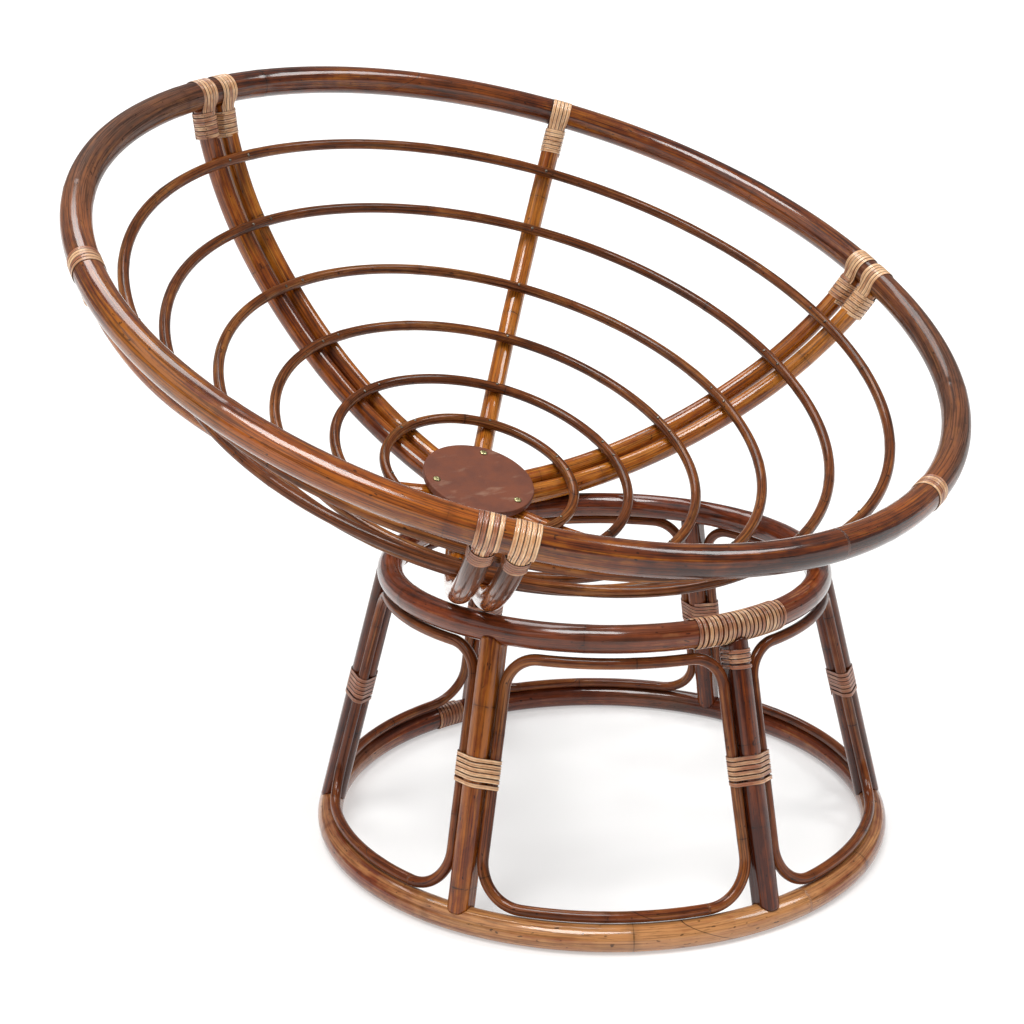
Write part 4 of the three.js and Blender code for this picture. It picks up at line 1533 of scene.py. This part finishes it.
@dataclass
class Hub:
    """The round board over the ribs' ends, and its three screws."""

    radius: float = 0.072
    thickness: float = 0.009
    rounding: float = 0.0018
    columns: int = 120
    edge_rows: int = 7
    face_rows: int = 14
    face_start: float = 0.002
    screw_circle: float = 0.059
    head: float = 0.00475
    head_height: float = 0.0022
    head_rows: int = 22
    head_columns: int = 48
    head_start: float = 0.02  # of the head's radius
    recess: float = 0.0011
    arm_half: float = 0.0007
    arm_end: float = 0.0012
    arm_reach: float = 2.4  # in lengths of the arm's sloping end
    arm_depth: float = 1.6  # in depths of the recess, before it is cut off level
    dome_fall: float = 0.86
    seat: float = 0.0001
    first_slot: float = 0.4
    slot_step: float = 0.9

    def face(self) -> float:
        """Work out how high the board's upper face lies in the bowl's frame, from the CAD board's own points.

        Returns:
            Its height.
        """
        low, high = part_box("hub_board")
        middle = (np.array(low) + np.array(high)) / 2 - BOWL.stand
        axis = np.array([0.0, -math.sin(BOWL.tilt), math.cos(BOWL.tilt)])
        return float(middle @ axis) + self.thickness / 2

    def disc(self, face: float) -> Skin:
        """Turn the board's outline, whose edges are rounded as quarter circles, about the bowl's axis.

        Args:
            face: how high the upper face lies.

        Returns:
            The board's skin.
        """
        curve = np.linspace(0, math.pi / 2, self.edge_rows)
        sine, cosine = self.rounding * np.sin(curve), self.rounding * np.cos(curve)
        inner, lower = self.radius - self.rounding, self.thickness - self.rounding
        flat = np.linspace(self.face_start, inner, self.face_rows)[:-1]
        radius = np.concatenate([flat, inner + sine, inner + cosine, flat[::-1]])
        depth = np.concatenate([0 * flat, self.rounding - cosine, lower + sine, 0 * flat + self.thickness])
        ends = face, face - self.thickness
        return lathe(radius, (face - depth)[:, None], ends, self.columns, lambda points: points)

    def screw(self, face: float, turn: float, slot_turn: float) -> Skin:
        """Shape a screw's head over a grid of radius and angle: a low dome, less a cross-shaped recess whose
        arms fall off smoothly at their sides and ends.

        Args:
            face: how high the board's upper face lies.
            turn: the screw's turn about the bowl's axis.
            slot_turn: how the cross is turned.

        Returns:
            The head's skin, closed below.
        """
        share = np.concatenate([np.linspace(self.head_start, 1, self.head_rows), [1.0]])
        x, y = self.head * share[None, :, None] * circle(self.head_columns).T[:, None, :]
        dome = self.head_height * np.sqrt(1 - self.dome_fall * share**2)[:, None]
        narrow, short = (
            [np.clip(most - np.abs(part) / size, 0, 1) for part in (x, y)]
            for most, size in ((1, self.arm_half), (self.arm_reach, self.arm_end))
        )
        cross = np.maximum(narrow[0] * short[1], narrow[1] * short[0])
        dome = dome - self.recess * np.minimum(1, self.arm_depth * cross)
        dome[-1] = self.seat
        place = np.array([self.screw_circle, 0, face])

        def set_in(points: Array) -> Array:
            """Return points of the head where it sits in the board."""
            return turned(turned(points, slot_turn) + place, turn)

        ends = self.head_height - self.recess, self.seat
        return lathe(share * self.head, dome, ends, self.head_columns, set_in)

    def build(self) -> list[Piece]:
        """Make the board, and a screw in each single rib.

        Returns:
            Their pieces.
        """
        face = self.face()
        pieces = [BOWL.piece("hub_disc", self.disc(face), BOARD_FINISH, "hub_board")]
        for index, rib in enumerate(rib for rib in BOWL.ribs() if rib.hub_aside == 0):
            skin = self.screw(face, rib.turn, self.first_slot + self.slot_step * index)
            name = f"hub_screw_head_{index + 1}"
            pieces.append(BOWL.piece(name, skin, SCREW_FINISH, f"hub_screw_{index + 1}"))
        return pieces


@dataclass
class Nails:
    """The small nail heads where each slim ring crosses a rib."""

    radius: float = 0.0019
    height: float = 0.0008
    columns: int = 8
    radius_shares: tuple[float, ...] = (0.25, 0.6, 0.88, 1.0, 1.0)
    height_shares: tuple[float, ...] = (1.0, 0.86, 0.5, 0.1, -0.6)
    rings: SlimRings = field(default_factory=SlimRings)

    def head(self, rib: RibPlace, polar: float) -> Skin:
        """Set a low dome on a ring's inner face, over a rib.

        Args:
            rib: the rib's place.
            polar: the ring's angle from the bowl's axis.

        Returns:
            The head's skin.
        """
        radius = self.radius * np.array(self.radius_shares)
        height = self.height * np.array(self.height_shares)
        distance = float(self.rings.distance(np.array(polar))) - BOWL.ring_pole / 2
        start = BOWL.start_angle(rib)
        aside = rib.aside((polar - start) / (BOWL.rim_angle - start))
        turn = rib.turn + math.asin(aside / (distance * math.sin(polar)))
        out = np.array([math.sin(polar), 0.0, -math.cos(polar)])
        across = np.array([0.0, 1.0, 0.0])
        frame = np.stack([across, np.cross(across, out), -out])

        def set_in(points: Array) -> Array:
            """Return points of the head where it sits on the ring."""
            return turned((points - distance * UP) @ frame, turn)

        return lathe(radius, height[:, None], (height[0], height[-1]), self.columns, set_in)

    def build(self) -> list[Piece]:
        """Set a head at every crossing.

        Returns:
            One piece with all the heads.
        """
        polars = [share * BOWL.rim_angle for share in self.rings.shares]
        skin = Skin.joined([self.head(rib, polar) for rib in BOWL.ribs() for polar in polars])
        return [BOWL.piece("ring_nails", skin, NAIL_FINISH)]


@dataclass
class BaseRings(Poles):
    """The base's two rings, each a thick pole bent round."""

    radius: float = 0.0154
    planed: float = 0.0131
    splice_half: float = 0.026
    seams: tuple[float, float] = (math.radians(339), math.radians(150))
    tones: tuple[tuple[tuple[float, float], ...], ...] = (
        ((340, 1.3), (20, 1.1), (60, -0.3), (180, -0.8), (250, 0.4), (300, 1.2)),
        ((320, -0.6), (0, -0.6), (60, -0.5), (180, -0.4), (240, -0.6)),
    )
    knots_apart: float = 0.27
    seed: int = 70
    start: float = 110.0
    start_step: float = 5.0
    sides: int = 36
    rows: int = 600

    def build(self) -> list[Piece]:
        """Carry a circle round each ring's centreline. Both rings are flat below, and the bottom one is
        planed a little more under its splice.

        Returns:
            The rings' pieces.
        """
        pieces = []
        for index, (name, (radius, height)) in enumerate((("bottom", BASE.bottom), ("top", BASE.top))):
            path = ring_path(radius, height, 2 * self.rows)
            seam = self.seams[index] * radius
            skin = self.pole(index, path, self.radius * circle(self.sides), seam=seam)
            bearing = bearing_of(skin.points)
            skin.values["tone"] = tone_round(bearing, self.tones[index])
            away = np.abs(np.mod(bearing - BASE.bottom_splice + math.pi, FULL_TURN) - math.pi) * radius
            depth = np.where((away < self.splice_half) & (index == 0), self.planed, BASE.flat - SKIN_GAP)
            skin.points[:, 2] = np.maximum(skin.points[:, 2], height - depth)
            pieces.append(BASE.piece(f"base_pole_{name}", skin, BASE_FINISH, f"base_ring_{name}"))
        return pieces


@dataclass
class Legs(Poles):
    """The six legs: round poles planed flat on two sides, coped over both rings."""

    rows: int = 120
    knots_apart: float = 0.2
    seed: int = 80
    start: float = 130.0
    start_step: float = 1.0
    swell: float = 0.0
    path_rows: int = 240
    arc_rows: int = 14
    side_rows: int = 8
    tones: tuple[float, ...] = (-0.7, -0.5, -0.4, -0.3, -0.6, 0.65)

    def section(self) -> Array:
        """Work out a leg's section: two arcs, joined by the planed sides.

        Returns:
            Rows of (outwards, across).
        """
        radius, flat = BASE.leg_pole / 2 - SKIN_GAP, BASE.leg_thickness / 2 - SKIN_GAP
        edge = math.asin(flat / radius)
        arc = np.linspace(-edge, edge, self.arc_rows)
        side = np.linspace(0, 1, self.side_rows)[1:-1]
        top = radius * np.stack([np.cos(arc), np.sin(arc)], axis=1)
        down = np.stack([radius * math.cos(edge) * (1 - 2 * side), 0 * side + flat], axis=1)
        half = np.concatenate([top, down])
        return np.concatenate([half, -half])

    def build(self) -> list[Piece]:
        """Carry the section up each leg's middle. Each column starts and ends where it meets a ring, at the
        root of the cope's radius squared less the column's height squared, and no nearer than the horns.

        Returns:
            The legs' pieces.
        """
        section = self.section()
        pieces = []
        for index, tone in enumerate(self.tones):
            points, _, out = BASE.leg_frames(index)(np.linspace(0, BASE.slant, self.path_rows))
            copes = BASE.pole / 2, BASE.pole / 2 if index else BASE.splice_reach
            gaps = (np.sqrt(np.maximum(0, cope**2 - section[:, 0] ** 2)) for cope in copes)
            trims = tuple(np.maximum(BASE.leg_horn, gap) for gap in gaps)
            skin = self.pole(index, Path(points, out), section, tone, trims=trims)
            pieces.append(BASE.piece(f"leg_pole_{index + 1}", skin, LEG_FINISH, f"leg_{index + 1}"))
        return pieces


@dataclass
class Loops(Poles):
    """The six slim loops, one in each bay between two legs."""

    bottom_corner: float = 0.050
    top_corner: float = 0.034
    reach: float = 0.0158
    over_splice: float = 0.001
    sides: int = 20
    rows: int = 300
    knots_apart: float = 0.17
    seed: int = 100
    seam_share: float = 0.93
    tones: tuple[float, ...] = (0.1, -0.1, 0.25)
    start: float = 150.0
    start_step: float = 2.0
    swell: float = 0.02
    mean_radius: float = 0.3  # turns bearings into lengths, to space the points evenly
    corner_rows: int = 24

    def line(self, bottom_reach: float, top_reach: float) -> tuple[Array, Array]:
        """Work out a loop's centreline on the cone. The bearing at a height is half a bay, less the angle of
        the loop's place beside the leg, less the angle of the inset in a corner, which is a quarter circle.

        Args:
            bottom_reach: how far what the loop lies on reaches from the bottom ring's middle.
            top_reach: the same at the top ring.

        Returns:
            Heights up the cone and bearings from the bay's middle, once round.
        """
        angle = np.linspace(0, math.pi / 2, self.corner_rows)
        rise, inset = 1 - np.cos(angle), 1 - np.sin(angle)
        low = bottom_reach + BASE.loop_pole / 2 + self.bottom_corner * rise
        high = BASE.slant - top_reach - BASE.loop_pole / 2 - self.top_corner * rise
        up = np.concatenate([low, high[::-1]])
        inset = np.concatenate([self.bottom_corner * inset, self.top_corner * inset[::-1]])
        radius = BASE.cone_radius(up)
        bearing = math.pi / BASE.legs - np.arcsin(BASE.loop_offset / radius) - inset / radius
        return np.concatenate([up, up[::-1], up[:1]]), np.concatenate([bearing, -bearing[::-1], bearing[:1]])

    def build(self) -> list[Piece]:
        """Carry a circle round each loop's centreline, filled in evenly between the corners.

        Returns:
            The loops' pieces.
        """
        section = pole_section(BASE.loop_pole, self.sides)
        pieces = []
        for index in range(BASE.legs):
            bottom = BASE.splice_reach if index == BASE.legs // 2 else self.reach
            top = BASE.splice_reach + self.over_splice if index in (0, BASE.legs - 1) else self.reach
            up, bearing = self.line(bottom, top)
            steps = np.hypot(np.diff(up), np.diff(bearing) * self.mean_radius)
            travel = np.concatenate([[0], np.cumsum(steps)])
            even = np.linspace(0, travel[-1], 2 * self.rows, endpoint=False)
            bearing = BASE.leg_bearing(index + 0.5) + np.interp(even, travel, bearing)
            points = BASE.cone_point(np.interp(even, travel, up), bearing)
            path = Path(points, BASE.cone_normal(bearing), closed=True)
            tone, seam = self.tones[index % len(self.tones)], self.seam_share * path.length
            skin = self.pole(index, path, section, tone, seam)
            pieces.append(BASE.piece(f"loop_pole_{index + 1}", skin, LOOP_FINISH, f"brace_loop_{index + 1}"))
        return pieces


@dataclass
class LegLashings:
    """The cane round each leg and the two loop sides beside it, and the turns at the first leg's head."""

    share: float = 0.52
    mid: Winding = Winding(6, 0.0052, 0.0046)
    head: Winding = Winding(4, 0.0052, 0.0046)
    head_drop: float = 0.004
    apart: float = 0.0016  # between the lowest turn and the next
    apart_turns: float = 1.4
    tones: tuple[float, ...] = (0.6, 1.1, 1.0, 1.0, 1.2, 0.0)
    head_tone: float = 0.9
    seed: int = 300
    first_start: float = 170.0
    start_step: float = 3.0
    head_start: float = 199.0

    def leg_reach(self, angle: Array) -> Array:
        """Work out a leg's own outline: its radius, or over a planed side the corner where it meets the arc.

        Args:
            angle: angles from across towards out.

        Returns:
            The reach at each.
        """
        radius, flat = BASE.leg_pole / 2, BASE.leg_thickness / 2
        x, y = np.abs(np.cos(angle)), np.abs(np.sin(angle))
        corner = flat * x + math.sqrt(radius**2 - flat**2) * y
        return np.where(radius * x <= flat, radius, corner) + CANE_GAP

    def bundle_reach(self, angle: Array) -> Array:
        """Return the outline of a leg with a loop's side against each planed side."""
        loops = BASE.loop_offset * np.abs(np.cos(angle)) + BASE.loop_pole / 2 + CANE_GAP
        return np.maximum(self.leg_reach(angle), loops)

    def strand(self, index: int, winding: Winding, reach: Outline, first: float, marks: Marks) -> Skin:
        """Wind one strand up a leg.

        Args:
            index: the leg's number from zero.
            winding: the strand's turns.
            reach: the bundle's outline.
            first: how far up the leg the strand starts.
            marks: the strand's tone and grain.

        Returns:
            The strand's skin, in the base's frame.
        """
        turn, stray = winding.turn(np.random.default_rng(self.seed + index + winding.count))
        places = first + winding.pitch * turn + stray - self.apart * np.clip(self.apart_turns - turn, 0, 1)
        return winding.wound(BASE.leg_frames(index), reach, places, FULL_TURN * turn - math.pi / 2, marks)

    def build(self) -> list[Piece]:
        """Wind the strand at each leg's middle and the one at the first leg's head.

        Returns:
            Their pieces.
        """
        pieces = []
        first = self.share * BASE.slant - self.mid.count * self.mid.pitch / 2
        for index, tone in enumerate(self.tones):
            marks = Marks(tone=tone, start=self.first_start + self.start_step * index)
            skin = self.strand(index, self.mid, self.bundle_reach, first, marks)
            pieces.append(BASE.piece(f"cane_leg_{index + 1}", skin, CANE_FINISH, f"leg_lashing_{index + 1}"))
        first = BASE.slant - BASE.splice_reach - self.head_drop - self.head.count * self.head.pitch
        marks = Marks(tone=self.head_tone, start=self.head_start)
        skin = self.strand(0, self.head, self.leg_reach, first, marks)
        return [*pieces, BASE.piece("cane_leg_head", skin, CANE_FINISH, "leg_head_lashing")]


@dataclass
class Splices:
    """The turns of cane that bind each base ring where its ends meet."""

    top: Winding = Winding(21, 0.0050, 0.0045, steps=48)
    bottom: Winding = Winding(8, 0.0050, 0.0045, steps=48)
    bare: float = BASE.pole / 2 + CANE_GAP
    under: float = 0.0133
    under_share: float = 0.8  # of the way down the pole's section, where the planing starts
    seed: int = 400
    marks: tuple[Marks, Marks] = (Marks(tone=0.5, start=210), Marks(tone=0.9, start=220))

    def strand(
        self, winding: Winding, ring: tuple[float, float], bearing: float, under: float, marks: Marks
    ) -> Skin:
        """Wind one strand round a ring's pole.

        Args:
            winding: the strand's turns.
            ring: the ring's radius and height.
            bearing: where the middle of the binding is.
            under: how far below the pole's middle the strand may reach.
            marks: the strand's tone and grain.

        Returns:
            The strand's skin, in the base's frame.
        """
        radius, height = ring
        turn, stray = winding.turn(np.random.default_rng(self.seed + winding.count))
        places = (turn - winding.count / 2) * winding.pitch + stray

        def frames(place: Array) -> tuple[Array, Array, Array]:
            """Return the frames at some places along the pole."""
            outward = towards(bearing + place / (radius - self.bare))
            return radius * outward + height * UP, outward, UP

        def reach(angle: Array) -> Array:
            """Return the pole's outline: its radius, less where it is planed below."""
            down = np.clip((-np.sin(angle) - self.under_share) / (1 - self.under_share), 0, 1)
            return self.bare - (self.bare - under) * down**2

        return winding.wound(frames, reach, places, FULL_TURN * turn + math.pi / 2, marks)

    def build(self) -> list[Piece]:
        """Wind both splices.

        Returns:
            Their pieces.
        """
        top = self.strand(self.top, BASE.top, BASE.top_splice, self.bare, self.marks[0])
        bottom = self.strand(self.bottom, BASE.bottom, BASE.bottom_splice, self.under, self.marks[1])
        return [
            BASE.piece("cane_splice_top", top, CANE_FINISH, "splice_top"),
            BASE.piece("cane_splice_bottom", bottom, CANE_FINISH, "splice_bottom"),
        ]


@dataclass
class Studio:
    """The pale floor, the soft lights and the camera. Pixels are of the photograph."""

    distance: float = 1.87938
    height: float = 0.93944
    heading: float = math.radians(42.14)
    yaw: float = math.radians(-2.10)
    pitch: float = math.radians(21.15)
    focal: float = 1679.33  # pixels
    middle: tuple[float, float] = (545.0, 649.4)  # pixels
    frame: float = 1024.0  # pixels
    far: float = 5000.0
    floor_half: float = 50.0
    backdrop: tuple[float, float] = (2000.0, 60.0)  # how far out the floor's surround ends, and how high
    # Each sun's bearing and height in degrees, its strength, and its width in degrees.
    suns: tuple[tuple[float, float, float, float], ...] = (
        (-62.0, 70.0, 2.3, 26.0),
        (-100.0, 40.0, 0.5, 50.0),
        (55.0, 52.0, 0.9, 20.0),
        (165.0, 60.0, 1.2, 30.0),
    )
    sky: float = 0.24

    def camera(self) -> None:
        """Set the camera where the photograph was taken from."""
        ahead, right = (
            np.array([math.sin(angle), math.cos(angle), 0.0])
            for angle in (self.heading, self.heading + math.pi / 2)
        )
        level = math.sin(self.yaw) * right + math.cos(self.yaw) * ahead
        look = math.cos(self.pitch) * level - math.sin(self.pitch) * UP
        place = np.array([0.0, BOWL.middle, self.height]) - self.distance * ahead
        data = bpy.data.cameras.new("studio_camera")
        data.lens = data.sensor_width * self.focal / self.frame
        data.shift_x = (self.frame / 2 - self.middle[0]) / self.frame
        data.shift_y = (self.middle[1] - self.frame / 2) / self.frame
        data.clip_end = self.far
        camera = bpy.data.objects.new("studio_camera", data)
        turn = Vector(look).to_track_quat("-Z", "Y").to_matrix().to_4x4()
        camera.matrix_world = Matrix.Translation(Vector(place)) @ turn
        bpy.context.scene.collection.objects.link(camera)
        bpy.context.scene.camera = camera

    def floor(self) -> None:
        """Lay the floor, a level square whose surround rises gently to a far edge above the horizon."""
        mesh = bpy.data.meshes.new("studio_floor")
        square = np.array([(-1, -1), (1, -1), (1, 1), (-1, 1)])
        edges = ((self.floor_half, 0.0), self.backdrop)
        points = [(*corner, rise) for reach, rise in edges for corner in square * reach]
        sides = [(side, side + 4, (side + 1) % 4 + 4, (side + 1) % 4) for side in range(4)]
        mesh.from_pydata(points, [], [(0, 1, 2, 3), *sides])
        mesh.materials.append(FLOOR_FINISH.material())
        floor = bpy.data.objects.new("studio_floor", mesh)
        bpy.context.scene.collection.objects.link(floor)

    def lights(self) -> None:
        """Set the sky, pale for light and white for the camera, and the wide, soft lights."""
        world = bpy.data.worlds.new("studio_sky")
        world.use_nodes = True
        nodes, links = world.node_tree.nodes, world.node_tree.links
        strength = nodes.new("ShaderNodeMath")
        strength.operation = "MULTIPLY_ADD"
        strength.inputs[1].default_value = 1.0 - self.sky
        strength.inputs[2].default_value = self.sky
        background = nodes["Background"]
        background.inputs["Color"].default_value = (1, 1, 1, 1)
        links.new(nodes.new("ShaderNodeLightPath").outputs["Is Camera Ray"], strength.inputs[0])
        links.new(strength.outputs[0], background.inputs["Strength"])
        bpy.context.scene.world = world
        for index, (bearing, height, strength, width) in enumerate(self.suns):
            data = bpy.data.lights.new(f"soft_light_{index + 1}", "SUN")
            data.energy = strength
            data.angle = math.radians(width)
            light = bpy.data.objects.new(data.name, data)
            light.rotation_euler = (math.radians(90 - height), 0, math.radians(bearing))
            bpy.context.scene.collection.objects.link(light)
        bpy.context.scene.view_settings.view_transform = "Standard"

    def build(self) -> None:
        """Set up the whole studio."""
        self.floor()
        self.lights()
        self.camera()


def main() -> None:
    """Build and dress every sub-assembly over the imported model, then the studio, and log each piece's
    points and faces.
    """
    logging.basicConfig(level=logging.INFO, format="%(message)s")
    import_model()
    bowl = (Rim(), Ribs(), SlimRings(), Hub(), Nails(), RibLashings())
    base = (BaseRings(), Legs(), Loops(), LegLashings(), Splices())
    for part in bowl + base:
        for piece in part.build():
            piece.place()
    Studio().build()


if __name__ == "__main__":
    main()
